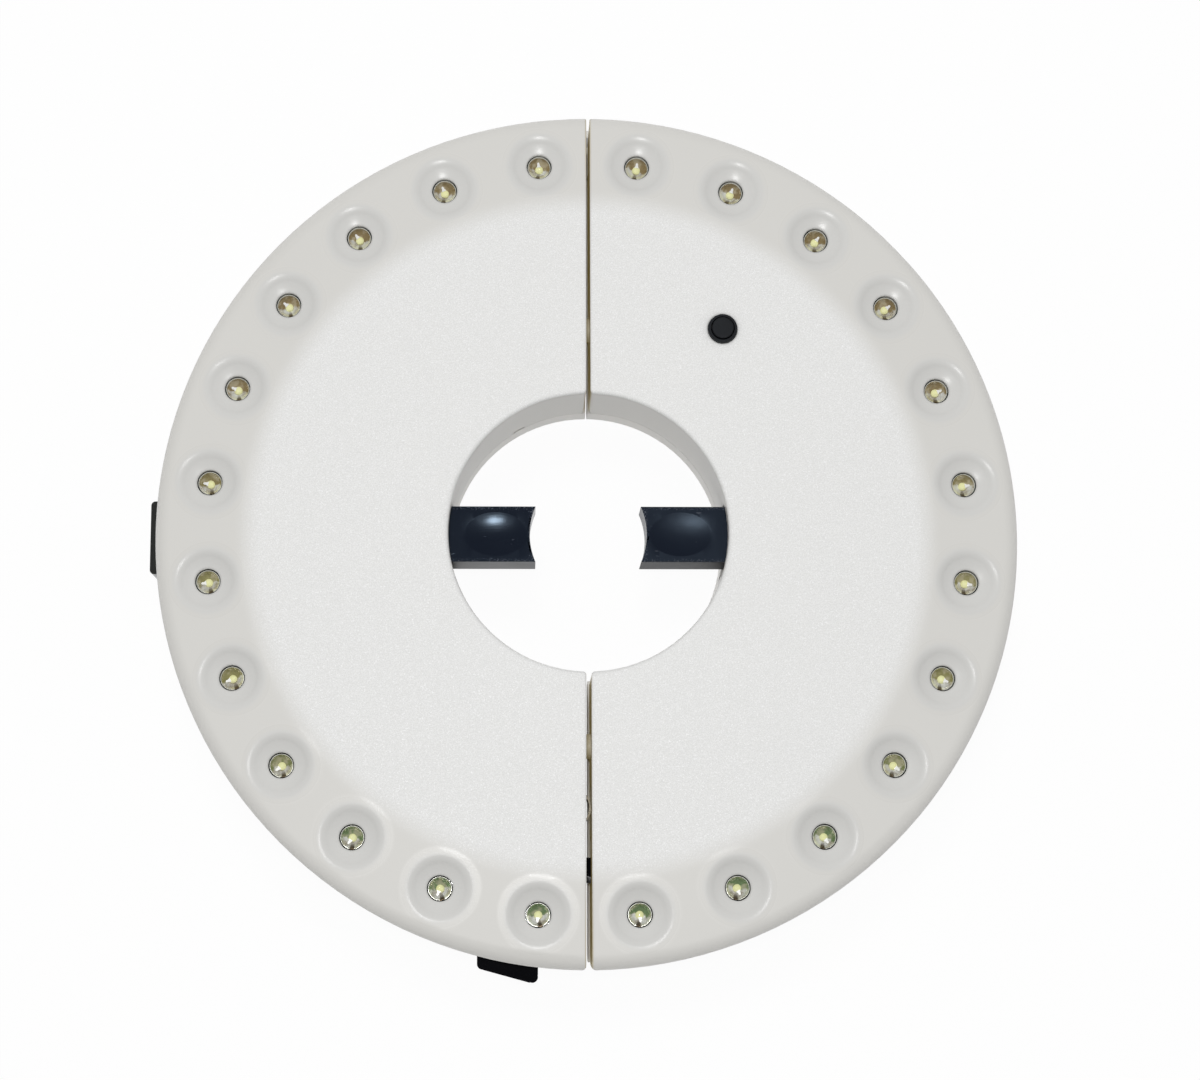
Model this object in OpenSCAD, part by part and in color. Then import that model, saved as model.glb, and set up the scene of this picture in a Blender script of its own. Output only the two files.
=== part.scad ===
// Cordless patio umbrella light. Two hinged half-rings clamp round the umbrella pole.
// The lamp lies on its back: +Z is the lit side, the pole runs along Z through the origin,
// +Y points to the hinge, and the origin is on the back plane. Sizes are in millimetres.

/* [Housing] */
// Largest diameter of the disc
disc_d = 200; // [198:1:206]
// Thickness from the back plane to the flat face
disc_h = 31; // [31:0.5:33]
// Diameter of the centre hole
hole_d = 64.8; // [62:0.2:66]
// Thickness of the moulded walls
wall = 2; // [1.8:0.1:2.2]
// Diameter of the flat part of the face
flat_d = 160; // [150:1:164]
// Slope of the band between the flat face and the rim, in degrees
band_slope = 3.5; // [2:0.5:5]
// Draft of the outer wall, in degrees
wall_draft = 4.5; // [3:0.5:5]
// Height where front and back shells meet
parting_z = 8.5; // [8.3:0.1:8.6]

/* [Split] */
// Gap between the front halves, at the pole axis
split_gap = 1.08; // [0.9:0.02:1.4]
// How much the gap narrows towards the hinge, per millimetre
split_taper = 0.003; // [0:0.0005:0.004]
// Gap between the back halves
seam_gap = 0.4; // [0.3:0.1:0.6]
// Distance of the hinge pin from the pole axis
hinge_y = 98.8; // [98.6:0.1:99.2]
// Diameter of the hinge pin
hinge_pin_d = 2.5; // [2:0.1:2.6]

/* [Lights] */
// Number of lights in each half
lights_per_half = 12; // [12]
// Diameter of the circle through the lights
light_ring_d = 176.6; // [175:0.2:178]
// Radius of the ball that the floor of each reflector dish is a part of
dish_ball_r = 12; // [11.5:0.1:12.5]
// Depth of a dish below the band around it
dish_depth = 2.2; // [2.1:0.1:2.4]
// Radius of the dish's edge, where its rounded lip ends
dish_edge_r = 7.3; // [7.2:0.1:7.4]
// Diameter of the clear lens
lens_d = 5.6; // [5:0.1:5.8]

/* [Pole jaws] */
// Width of a jaw
jaw_w = 13; // [12:0.5:13]
// Height of a jaw where it grips the pole
jaw_h = 11.5; // [10:0.5:11.5]
// Distance from the pole axis to the deepest point of the gripping curve
jaw_reach = 13.6; // [12.5:0.1:14]
// Radius of the gripping curve
jaw_curve_r = 16.4; // [14:0.2:20]
// Width of the thumb tab on the rim
tab_w = 17.2; // [14:0.2:18]

/* [Battery bays] */
// Diameter of a cell
cell_d = 14.2; // [13.8:0.1:14.4]
// Length of a cell with its nub
cell_len = 50.5; // [49.5:0.1:50.5]
// Centre of the left bay; the right one is opposite it
bay_centre = [-39.8, 42.9];

/* [Shown] */
// Sub-part to draw, or all of them

/* [Hidden] */
$fn = 96;
light_count = 2 * lights_per_half;

left = -1;
right = 1;
disc_r = disc_d / 2;
hole_r = hole_d / 2;
flat_r = flat_d / 2;
big = disc_r + 15;        // reaches past the disc in plan
tall = disc_h + 10;       // reaches past the disc in height
slip = 0.3;               // clearance beside what slides
cut = 0.1;                // how far a cutter passes a face
root = 1;                 // how far a rib, post or boss reaches into what carries it

// Rim: a round between the sloping band and the drafted wall
rim_r = 3.5;
face_edge_r = 1;
corner_r = 1;
band_end_r = disc_r - rim_r + rim_r * sin(band_slope);
band_end_z = disc_h - (band_end_r - flat_r) * tan(band_slope);
rim_centre = [disc_r - rim_r, band_end_z - rim_r * cos(band_slope)];

// Back shell
floor_h = 2.2;
back_edge_r = 3;
back_step = 0.4;          // the back shell is this much smaller than the front one
joint_gap = 0.2;          // between front and back shells
tongue_h = 2;
tongue_w = 1.2;
seam_wall = 1.6;
lip_r = 1.5;              // round on the lip of the hole
foot_step = 0.3;          // the rounded foot is this much smaller than the rim above it
tongue_end = gap_at(-disc_r) / 2 + wall + joint_gap;   // the tongues stop short of the split walls

// Hinge at the top of the rim: three knuckles
knuckle_r = 3;
knuckle_z = [0.6, 4.5, 8.6, 12.5];   // where each knuckle starts
knuckle_gap = 0.3;
knuckle_web = 3;                     // how far a knuckle's web reaches sideways past it
hinge_block = [7, 90.5];             // half width and inner edge of the hinge block
hinge_top_z = knuckle_z[3] - knuckle_gap;
press_play = 0.02;
run_play = 0.06;

// Lights and their board
light_ring_r = light_ring_d / 2;
light_pitch = 180 / lights_per_half;
band_z = disc_h - (light_ring_r - flat_r) * tan(band_slope);
dish_bottom_z = band_z - dish_depth;
dish_lip_r = 4;
dish_lip_end = 12;                    // slope at which the lip meets the band, in degrees
dish_lip_foot = -0.4;                 // height, from the band, that the lip's cutter starts at
dish_wall = 1.5;
lens_hole_r = 2.95;
lens_proud = 1.7;
lens_flange_r = 3.4;
lens_flange_h = 1;
board_h = 1.6;
board_top_z = 21.3;
board_in_r = 81.5;
board_out_r = 94.6;
lead_r = 0.25;
lead_spread = 1.27;
lead_tail = 0.4;                      // how far a lead shows below its board
post_r = 2;
post_pin_r = 1;
post_pin_l = 0.5;                     // how far a post's pin passes its board
post_slip = 0.15;
post_pitches = [-5, -2, 2, 5];        // posts between the lights, in pitches from the jaw line

// Jaws and slide bars
jaw_z = 15;
jaw_top_z = jaw_z + jaw_h;
jaw_end = 46;
jaw_dish = [1.2, 120, 21.6];          // depth of the dish in a jaw's top, its radius along and across
jaw_dish_x = 23;
bar_z = 10.8;
bar_h = 7.7;
bar_start = 38;
bar_ends = [100.1, 82];               // left bar reaches the rim, right bar ends inside
tab_t = 2;
tab_r = 1;
tab_z = 9.5;
tab_h = 10.5;
pocket = [48, 76.15];                 // spring pocket along the bar
pocket_w = 6.4;
pocket_roof = 1.3;
stop_rib = [73, 76];                  // fixed rib that the spring pushes against
stop_rib_w = 5.6;
guide_t = 1.3;
guide = [37, 62];
guide_z = 12;
roof_ribs = [2, -3.5];                // ribs over the jaw, and how thick they are
roof_rib_t = 1.5;
jaw_slot = [7, 9.6];                  // half width of the wall's slot on its tight and loose side
jaw_slot_slip = 0.5;
bar_rest = [3.6, 2];                  // offset and thickness of the ribs under the bar
spring_r = 2.7;
spring_z = 14.35;                     // axis of the jaw springs
spring_wire = 0.6;
spring_peg_r = 1.6;
spring_peg_l = 4;

// Latch at the bottom of the rim
latch_pivot = [-34, -82];
latch_foot_z = 3;                     // where the latch pin starts
latch_window = [-26.1, -9.4, -92];    // sides and inner edge of the button's window
latch_pin_r = 1.25;
latch_eye_r = 3.8;
latch_z = 10.8;
latch_h = 7.6;
hook_z = 13;
hook_window = [-80.6, -69.8];         // from and to, along the split
hook_slip = [0.4, 0.6];               // below and above the hook
latch_spring_x = -18;
latch_spring_y = [-77.5, -70.7];        // lever end and rib end
latch_spring_z = 14.6;
latch_spring_r = 2.4;
latch_spring_seat = [4, 2];           // half width and thickness of the rib it pushes against

// Pegs and contacts in the split
pegs_y = [50, -48.8];
peg_r = 2.9;
peg_l = 3;
peg_tip = [0.8, 0.7];                 // length and depth of a peg's chamfer
peg_z = 20;
contact_y = -63.2;
contact_w = 9.2;
contact_t = 0.4;
contact_h = 3.2;
contacts_z = [16.2, 20.8];
contact_pocket = [10, 9];             // along the split, and in height
contact_pocket_z = 15.4;
contact_seat = 1.2;                   // depth of the plates' seat
contact_tail = [1, 6];                // half width and reach of a plate's tail
plate_x = 0.75;
finger_x = [-3.05, 0.6];              // foot and crown of a finger
split_reach = 4;                      // how far a window is cut into each split wall
notch = [120, 3, 1.6];                // angle, width and height of the locating notch

// Switch
switch_pos = [31.4, 48];
switch_hole_r = 3.5;
boot_r = 3.4;
button_r = 2.5;
button_top_z = disc_h + 1.3;
switch_dish_r = 5.6;
switch_dish_depth = 0.4;
switch_size = 8;
driver_size = [28, 20];
driver_z = 15;
switch_z = [driver_z, 27];
driver_posts = [[-11, -7], [11, 7]];
driver_pin = [2.2, 3];                // how far a post's pin drops, and its length
boot_flange = [1, 1.5];               // width and thickness of the boot's flange
boot_foot_z = 27.3;
boot_top_z = disc_h + 0.8;
button_slip = 0.25;

// Screws that hold the shells together
screws_left = [[-12, 75.5], [-75, 14.5], [-75, -14.5], [-38, -62], [-10, -41]];
screws_right = [[12, 75.5], [75, 14.5], [75, -14.5], [13.5, -75], [10, 41]];
boss_r = 3.4;
screw_r = 1.4;
screw_head_r = 2.8;
screw_head_h = 1.8;
screw_seat_z = 5.4;
screw_l = 15;
screw_slip = 0.3;
well_r = 4.4;

// Battery bay
bay_turn = 45;
bay_in = [58.4, 30.4];
bay_wall = 1.4;
bay_roof_z = 17.9;
cell_z = 10.2;
cell_pitch = 15;
nub_r = 2.75;
nub_l = 1.2;
cell_end_gap = 1.2;                   // between a nub and the bay's end wall
door_recess = [61.6, 33.6];
door_recess_h = 1.6;
door_t = 1.4;
door_gap = 0.3;
door_lift = 0.05;                     // gap between door and recess
door_tabs_y = [-10, 10];
door_tab = [2, 2.2];                  // half width and reach of a hinge tab
door_tab_z = [1.9, 3];
door_tongue = [3, 1.2, 4.6];          // half width, thickness and height of the closing tongue
grip_ball_r = 18;                     // ball that cuts the finger scallop at the door's free end
grip_depth = 0.7;
slot_top_z = 4.2;
terminal_t = 0.4;
terminal_gap = 0.05;
dimple_r = [2.4, 1.6];
terminal = [11, 10];                  // width and height of one battery terminal
coil_r = [4.2, 3];                    // battery spring at its base and at its tip
coil_wire = 0.7;

shell_white = [0.88, 0.88, 0.86];
gloss_black = [0.05, 0.05, 0.07];
steel = [0.75, 0.76, 0.78];
brass_colour = [0.8, 0.66, 0.35];
board_green = [0.13, 0.35, 0.2];
clear_lens = [0.9, 0.92, 0.85, 0.7];

// ---------------------------------------------------------------- the two halves

function gap_at(y) = split_gap - split_taper * y;
function side_angle(side) = side == left ? 180 : 0;

// Everything on one side of the tapered split, from back millimetres behind its face
module front_side(side, back = 0) {
    far = [big, -big];
    translate([0, 0, -5]) linear_extrude(tall + 5)
        polygon([for (y = far) [side * (gap_at(y) / 2 + back), y],
                 [side * big, -big], [side * big, big]]);
}

// Everything on one side of the straight seam between the back halves
module back_side(side, back = 0) {
    inner = seam_gap / 2 + back;
    translate([side == left ? -big : inner, -big, -5]) cube([big - inner, 2 * big, tall + 5]);
}

// Copies its children to each light of one half, x pointing outwards
module at_lights(side) {
    for (i = [0:lights_per_half - 1])
        rotate(side_angle(side) + (i - (lights_per_half - 1) / 2) * light_pitch)
            translate([light_ring_r, 0, 0]) children();
}

module at_posts(side) {
    for (p = post_pitches)
        rotate(side_angle(side) + p * light_pitch) translate([light_ring_r, 0, 0]) children();
}

module at_screws(side) {
    for (p = side == left ? screws_left : screws_right) translate(p) children();
}

// Turns the left half's bay frame, long side along x, into either half
module in_bay(side) {
    rotate(side == left ? 0 : 180) translate(bay_centre) rotate(bay_turn) children();
}

// Jaw frame of one half: x runs outwards from the pole
module in_jaw(side) {
    rotate(side_angle(side)) children();
}

// Box from one corner to the other
module block(low, high) {
    translate(low) cube(high - low);
}

// ---------------------------------------------------------------- front shells

module front_outline() {
    wall_top = rim_centre + rim_r * [cos(wall_draft), -sin(wall_draft)];
    wall_foot = wall_top.x - (wall_top.y - parting_z) * tan(wall_draft);
    edge = [hole_r + face_edge_r, disc_h - face_edge_r];
    polygon([[hole_r, parting_z], [hole_r, edge.y], edge, [edge.x, disc_h], [flat_r, disc_h],
             [band_end_r, band_end_z], rim_centre, wall_top, [wall_foot, parting_z]]);
    translate(edge) circle(face_edge_r);
    translate(rim_centre) circle(rim_r);
}

module front_hollow() {
    up = [sin(band_slope), cos(band_slope)];
    out = [cos(wall_draft), -sin(wall_draft)];
    corner = rim_centre + (rim_r - wall) * (up + out) / (1 + up * out);
    foot_z = parting_z - 1;
    polygon([[hole_r + wall, foot_z], [hole_r + wall, disc_h - wall], [flat_r, disc_h - wall],
             corner, [corner.x - (corner.y - foot_z) * tan(wall_draft), foot_z]]);
}

// Takes the sharp corner off where a split face meets the rim or the hole
module corner_cut(side, y, inward) {
    x = side * gap_at(y) / 2;
    translate([x, y, parting_z - 1]) linear_extrude(tall) difference() {
        polygon([[-side, -inward], [side * corner_r, -inward], [side * corner_r, inward * corner_r],
                 [-side, inward * corner_r]]);
        translate([side * corner_r, inward * corner_r]) circle(corner_r, $fn = 32);
    }
}

// Sets its children on the sloping band, z square to it
module on_band() {
    translate([0, 0, band_z]) rotate([0, band_slope, 0]) children();
}

// What a reflector dish leaves open: a ball's floor, and a lip that rolls over into the band
module dish_room() {
    lip_ring_r = dish_edge_r + dish_lip_r * sin(dish_lip_end);
    on_band() difference() {
        union() {
            translate([0, 0, dish_ball_r - dish_depth]) sphere(dish_ball_r);
            translate([0, 0, dish_lip_foot]) cylinder(r = dish_edge_r + slip, h = -dish_lip_foot + wall);
        }
        translate([0, 0, -dish_lip_r * cos(dish_lip_end)])
            rotate_extrude() translate([lip_ring_r, 0]) circle(dish_lip_r);
    }
}

module dish_cups(side) {
    intersection() {
        at_lights(side) on_band() translate([0, 0, dish_ball_r - dish_depth])
            sphere(dish_ball_r + dish_wall);
        block([-big, -big, 0], [big, big, disc_h - dish_wall]);
    }
}

module guides(side) {
    inner = jaw_w / 2 + slip;
    in_jaw(side) {
        for (y = [inner, -inner - guide_t])
            block([guide[0], y, guide_z], [guide[1], y + guide_t, disc_h - root]);
        for (y = roof_ribs)
            block([guide[0] + wall, y, jaw_top_z + slip], [guide[1], y + roof_rib_t, disc_h - root]);
    }
}

module front_body(side) {
    difference() {
        intersection() {
            rotate_extrude() front_outline();
            front_side(side);
        }
        intersection() {
            rotate_extrude() front_hollow();
            front_side(side, wall);
        }
    }
    dish_cups(side);
    guides(side);
    at_screws(side)
        translate([0, 0, parting_z]) cylinder(r = boss_r, h = disc_h - root - parting_z, $fn = 32);
    at_posts(side) {
        translate([0, 0, board_top_z])
            cylinder(r = post_r, h = dish_bottom_z + root - board_top_z, $fn = 32);
        translate([0, 0, board_top_z - board_h - post_pin_l])
            cylinder(r = post_pin_r, h = board_h + 2 * post_pin_l, $fn = 24);
    }
}

module front_cuts(side) {
    at_lights(side) {
        dish_room();
        cylinder(r = lens_hole_r, h = tall, $fn = 48);
    }
    at_screws(side)
        translate([0, 0, parting_z - 1])
            cylinder(r = screw_r + press_play, h = screw_l - 2, $fn = 32);
    for (y = [disc_r, -disc_r]) corner_cut(side, y, -sign(y));
    for (y = [hole_r, -hole_r]) corner_cut(side, y, sign(y));
    // jaw slot in the wall of the hole, cut deeper on its lower side
    in_jaw(side)
        block([hole_r - jaw_h, side == left ? -jaw_slot[0] : -jaw_slot[1], jaw_z - jaw_slot_slip],
              [hole_r + wall + root, side == left ? jaw_slot[1] : jaw_slot[0], jaw_top_z + jaw_slot_slip]);
    // clearance for the hinge block
    block([-hinge_block[0] - slip, hinge_block[1] - slip, 0],
          [hinge_block[0] + slip, big, hinge_top_z + slip]);
    // window that the latch hook crosses
    block([-split_reach, hook_window[0], hook_z - hook_slip[0]],
          [split_reach, hook_window[1], latch_z + latch_h + hook_slip[1]]);
    // locating notch at the foot of the hole's wall
    rotate(notch[0]) block([hole_r - root, -notch[1] / 2, parting_z - root],
                           [hole_r + wall / 2, notch[1] / 2, parting_z + notch[2]]);
}

module front_shell_left() {
    color(shell_white) difference() {
        union() {
            front_body(left);
            for (y = pegs_y) translate([-wall, y, peg_z]) rotate([0, 90, 0]) {
                straight = wall + peg_l - peg_tip[0];
                cylinder(r = peg_r, h = straight, $fn = 48);
                translate([0, 0, straight])
                    cylinder(r1 = peg_r, r2 = peg_r - peg_tip[1], h = peg_tip[0], $fn = 48);
            }
        }
        front_cuts(left);
        // window of the slide bar in the rim
        in_jaw(left)
            block([disc_r - 4 * wall, -jaw_w / 2 - slip, bar_z - slip],
                  [big, jaw_w / 2 + slip, bar_z + bar_h + slip]);
        // window of the latch button in the rim
        block([latch_window[0], -big, latch_z - slip],
              [latch_window[1], latch_window[2], latch_z + latch_h + slip]);
        // window of the contact fingers
        contact_window(-split_reach, root);
    }
}

module front_shell_right() {
    color(shell_white) difference() {
        union() {
            front_body(right);
            for (p = driver_posts) translate([switch_pos.x + p.x, switch_pos.y + p.y, driver_z])
                cylinder(r = post_r, h = disc_h - root - driver_z, $fn = 32);
            for (p = driver_posts)
                translate([switch_pos.x + p.x, switch_pos.y + p.y, driver_z - driver_pin[0]])
                    cylinder(r = post_pin_r, h = driver_pin[1], $fn = 24);
        }
        front_cuts(right);
        for (y = pegs_y) translate([-root, y, peg_z]) rotate([0, 90, 0])
            cylinder(r = peg_r + slip, h = 2 * peg_l, $fn = 48);
        // seat of the contact plates, and the slots of their tails
        contact_window(0, contact_seat);
        for (z = contacts_z) translate([0, contact_y, z + contact_h / 2])
            block([root, -contact_tail[0] - joint_gap, -contact_t],
                  [split_reach, contact_tail[0] + joint_gap, contact_t]);
        // hole of the switch, in a shallow dish
        translate(switch_pos) {
            cylinder(r = switch_hole_r, h = tall, $fn = 48);
            translate([0, 0, disc_h - switch_dish_depth]) switch_dish();
        }
    }
}

module contact_window(from, to) {
    block([from, contact_y - contact_pocket[0] / 2, contact_pocket_z],
          [to, contact_y + contact_pocket[0] / 2, contact_pocket_z + contact_pocket[1]]);
}

module switch_dish() {
    ball_r = (pow(switch_dish_r, 2) + pow(switch_dish_depth, 2)) / (2 * switch_dish_depth);
    translate([0, 0, ball_r]) sphere(ball_r);
}

// ---------------------------------------------------------------- back shells

function front_foot_r() = rim_centre.x + rim_r * cos(wall_draft)
    - (rim_centre.y - rim_r * sin(wall_draft) - parting_z) * tan(wall_draft);

module back_outline(solid = false) {
    out_r = front_foot_r() - back_step;
    top = parting_z - joint_gap;
    tongue_out = front_foot_r() - wall - joint_gap;
    tongue_in = hole_r + wall + joint_gap;
    tip = top + tongue_h;
    shell = [[hole_r, lip_r], [hole_r, top], [tongue_in, top], [tongue_in, tip],
             [tongue_in + tongue_w, tip], [tongue_in + tongue_w, floor_h],
             [tongue_out - tongue_w - foot_step, floor_h], [tongue_out - tongue_w, tip],
             [tongue_out, tip], [tongue_out, top], [out_r, top]];
    filled = [[hole_r, lip_r], [hole_r, top], [out_r, top]];
    foot_r = out_r - foot_step - back_edge_r;
    foot = [[foot_r + back_edge_r, back_edge_r], [foot_r, back_edge_r],
            [foot_r, 0], [hole_r + lip_r, 0], [hole_r + lip_r, lip_r]];
    polygon(concat(solid ? filled : shell, foot));
    translate([foot_r, back_edge_r]) circle(back_edge_r);
    translate([hole_r + lip_r, lip_r]) circle(lip_r);
}

// Plan of one knuckle and the web that carries it
module knuckle_plan(side) {
    translate([0, hinge_y]) circle(knuckle_r);
    web = side * (knuckle_r + knuckle_web);
    polygon([[side * knuckle_r, hinge_y], [web, hinge_y - knuckle_web], [web, hinge_block[1]],
             [side * seam_gap / 2, hinge_block[1]], [side * seam_gap / 2, hinge_y - knuckle_r + cut]]);
}

module knuckle(side, i) {
    translate([0, 0, knuckle_z[i]])
        linear_extrude(knuckle_z[i + 1] - knuckle_z[i] - knuckle_gap) knuckle_plan(side);
}

module hinge_half(side) {
    own = side == left ? [1] : [0, 2];
    other = side == left ? [0, 2] : [1];
    difference() {
        union() {
            intersection() {
                cylinder(r = front_foot_r() - back_step, h = hinge_top_z);
                back_side(side);
                block([-hinge_block[0], hinge_block[1], 0], [hinge_block[0], big, hinge_top_z]);
            }
            for (i = own) knuckle(side, i);
        }
        for (i = other)
            translate([0, hinge_y, knuckle_z[i] - (i == 0 ? wall : knuckle_gap)])
                cylinder(r = knuckle_r + back_step,
                         h = knuckle_z[i + 1] - knuckle_z[i] + (i == 1 ? knuckle_gap : wall));
        translate([0, hinge_y, -1])
            cylinder(r = hinge_pin_d / 2 + (side == left ? run_play : press_play), h = tall, $fn = 48);
    }
}

module screw_well() {
    cylinder(r = well_r, h = parting_z - joint_gap, $fn = 48);
}

module screw_well_cut() {
    translate([0, 0, -1]) {
        cylinder(r = screw_head_r + screw_slip, h = screw_seat_z + 1, $fn = 48);
        cylinder(r = screw_r + screw_slip, h = tall, $fn = 32);
    }
}

module centred_block(size, z0, z1) {
    translate([-size.x / 2, -size.y / 2, z0]) cube([size.x, size.y, z1 - z0]);
}

module bay_box() {
    centred_block(bay_in + 2 * bay_wall * [1, 1], 0, bay_roof_z + bay_wall);
    centred_block(door_recess + 2 * bay_wall * [1, 1], 0, door_recess_h + bay_wall);
}

module bay_cut() {
    centred_block(bay_in, -1, bay_roof_z);
    centred_block(door_recess, -1, door_recess_h);
    // slots for the door's two tabs
    for (y = door_tabs_y)
        block([-door_recess.x / 2 - bay_wall, y - door_tab[0] - slip, door_recess_h - cut],
              [-bay_in.x / 2 + root, y + door_tab[0] + slip, slot_top_z]);
}

// Ribs that carry the slide bar, and the rib that its spring pushes against
module bar_rests(side) {
    in_jaw(side) {
        for (y = [bar_rest[0], -bar_rest[0] - bar_rest[1]])
            block([bar_start + spring_peg_l, y, root],
                  [stop_rib[0] - spring_peg_l + root, y + bar_rest[1], bar_z - slip]);
        block([stop_rib[0], -stop_rib_w / 2, root],
              [stop_rib[1], stop_rib_w / 2, bar_z + bar_h - pocket_roof - slip]);
        translate([stop_rib[0], 0, spring_z]) rotate([0, -90, 0])
            cylinder(r = spring_peg_r, h = spring_peg_l, $fn = 32);
    }
}

module back_body(side) {
    difference() {
        intersection() {
            back_side(side);
            union() {
                rotate_extrude() back_outline();
                difference() {
                    rotate_extrude() back_outline(true);
                    back_side(side, seam_wall);
                }
            }
        }
        block([-hinge_block[0], hinge_block[1], -1], [hinge_block[0], big, tall]);
        block([-tongue_end, -big, parting_z - joint_gap], [tongue_end, big, tall]);
    }
    hinge_half(side);
    at_screws(side) screw_well();
    in_bay(side) bay_box();
    bar_rests(side);
}

module back_shell_left() {
    color(shell_white) difference() {
        union() {
            back_body(left);
            translate(latch_pivot) cylinder(r = latch_eye_r - 0.4, h = latch_z - slip, $fn = 48);
            block([latch_spring_x - latch_spring_seat[0], latch_spring_y[1] + cut, root],
                  [latch_spring_x + latch_spring_seat[0], latch_spring_y[1] + latch_spring_seat[1],
                   latch_z + latch_h - root]);
        }
        at_screws(left) screw_well_cut();
        in_bay(left) bay_cut();
        translate([latch_pivot.x, latch_pivot.y, latch_foot_z])
            cylinder(r = latch_pin_r + press_play, h = tall, $fn = 48);
    }
}

module back_shell_right() {
    color(shell_white) difference() {
        back_body(right);
        at_screws(right) screw_well_cut();
        in_bay(right) bay_cut();
    }
}

module hinge_pin() {
    color(steel) translate([0, hinge_y, knuckle_z[0]])
        cylinder(r = hinge_pin_d / 2, h = hinge_top_z - knuckle_z[0], $fn = 48);
}

// ---------------------------------------------------------------- lights

module led_board(side) {
    color(board_green) difference() {
        intersection() {
            translate([0, 0, board_top_z - board_h]) difference() {
                cylinder(r = board_out_r, h = board_h);
                translate([0, 0, -1]) cylinder(r = board_in_r, h = board_h + 2);
            }
            front_side(side, wall + root);
        }
        at_posts(side) cylinder(r = post_pin_r + post_slip, h = tall, $fn = 24);
        at_lights(side) for (y = [-1, 1] * lead_spread)
            translate([0, y, 0]) cylinder(r = lead_r + post_slip, h = tall, $fn = 16);
    }
}

// One round light: domed lens, flange and two leads through the board
module led() {
    dome_z = dish_bottom_z + lens_proud - lens_d / 2;
    color(clear_lens) {
        translate([0, 0, board_top_z]) cylinder(r = lens_flange_r, h = lens_flange_h, $fn = 48);
        translate([0, 0, board_top_z]) cylinder(d = lens_d, h = dome_z - board_top_z, $fn = 48);
        translate([0, 0, dome_z]) sphere(d = lens_d, $fn = 48);
        for (y = [-1, 1] * lead_spread)
            translate([0, y, board_top_z - board_h - lead_tail])
                cylinder(r = lead_r, h = board_h + lead_tail + lens_flange_h / 2, $fn = 16);
    }
}

// Lights are numbered anticlockwise from just right of the latch
module led_number(i) {
    rotate(-90 + (i - 0.5) * light_pitch) translate([light_ring_r, 0, 0]) led();
}

// ---------------------------------------------------------------- jaws

module jaw_body(side) {
    bar_end = side == left ? bar_ends[0] : bar_ends[1];
    difference() {
        union() {
            block([5, -jaw_w / 2, jaw_z], [jaw_end, jaw_w / 2, jaw_top_z]);
            block([bar_start, -jaw_w / 2, bar_z], [bar_end, jaw_w / 2, bar_z + bar_h]);
        }
        translate([jaw_reach - jaw_curve_r, 0, 0]) cylinder(r = jaw_curve_r, h = tall);
        block([pocket[0], -pocket_w / 2, 0], [pocket[1], pocket_w / 2, bar_z + bar_h - pocket_roof]);
        translate([jaw_dish_x, 0, jaw_top_z - jaw_dish[0] + jaw_dish[1]]) rotate([90, 0, 0])
            rotate_extrude() translate([jaw_dish[1] - jaw_dish[2], 0]) circle(jaw_dish[2]);
    }
    translate([pocket[0] - 1, 0, spring_z]) rotate([0, 90, 0])
        cylinder(r = spring_peg_r, h = spring_peg_l + 1, $fn = 32);
}

module jaw_left() {
    color(gloss_black) in_jaw(left) {
        jaw_body(left);
        translate([bar_ends[0], 0, tab_z]) linear_extrude(tab_h) thumb_tab_plan();
    }
}

// Flat against the rim, with its two outer corners rounded
module thumb_tab_plan() {
    side = tab_w / 2;
    translate([0, tab_r - side]) square([tab_t, tab_w - 2 * tab_r]);
    translate([0, -side]) square([tab_t - tab_r, tab_w]);
    for (y = [side - tab_r, tab_r - side]) translate([tab_t - tab_r, y]) circle(tab_r, $fn = 32);
}

module jaw_right() {
    color(gloss_black) in_jaw(right) jaw_body(right);
}

module jaw_spring(side) {
    color(steel) in_jaw(side) translate([pocket[0] + 0.2, 0, spring_z])
        rotate([0, 90, 0]) plain_spring(spring_r, stop_rib[0] - pocket[0] - 0.4);
}

// A wound spring that nothing shows, as a plain sleeve
module plain_spring(r, h) {
    difference() {
        cylinder(r = r, h = h, $fn = 48);
        translate([0, 0, -1]) cylinder(r = r - spring_wire, h = h + 2, $fn = 48);
    }
}

// ---------------------------------------------------------------- latch

module latch_lever() {
    color(gloss_black) difference() {
        union() {
            translate([0, 0, latch_z]) linear_extrude(latch_h) {
                translate(latch_pivot) circle(latch_eye_r, $fn = 64);
                polygon([[-34, -78.2], [-24, -77.6], [-11.5, -77.6], [-11.5, -101], [-13.4, -102.8],
                         [-24, -99.9], [-25.5, -98.2], [-25.5, -86], [-34, -85.8]]);
                translate([-24.2, -98.5]) circle(1.3, $fn = 32);
                translate([-12.8, -101.5]) circle(1.3, $fn = 32);
            }
            translate([0, 0, hook_z]) linear_extrude(latch_z + latch_h - hook_z)
                polygon([[-16, -79], [-12, -74.3], [6.6, -74.3], [6.6, -80.6], [4.6, -83.4],
                         [3.1, -83.4], [3.1, -80.1], [-12, -80.1]]);
        }
        translate(latch_pivot) cylinder(r = latch_pin_r + run_play, h = tall, $fn = 48);
    }
}

module latch_pin() {
    top = latch_z + latch_h;
    color(steel) translate(latch_pivot) {
        translate([0, 0, latch_foot_z]) cylinder(r = latch_pin_r, h = top + slip - latch_foot_z, $fn = 48);
        translate([0, 0, top + slip / 2]) cylinder(r = 2 * latch_pin_r, h = 0.4, $fn = 48);
    }
}

module latch_spring() {
    color(steel) translate([latch_spring_x, latch_spring_y[1], latch_spring_z]) rotate([90, 0, 0])
        plain_spring(latch_spring_r, latch_spring_y[1] - latch_spring_y[0]);
}

// ---------------------------------------------------------------- switch and contacts

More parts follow.
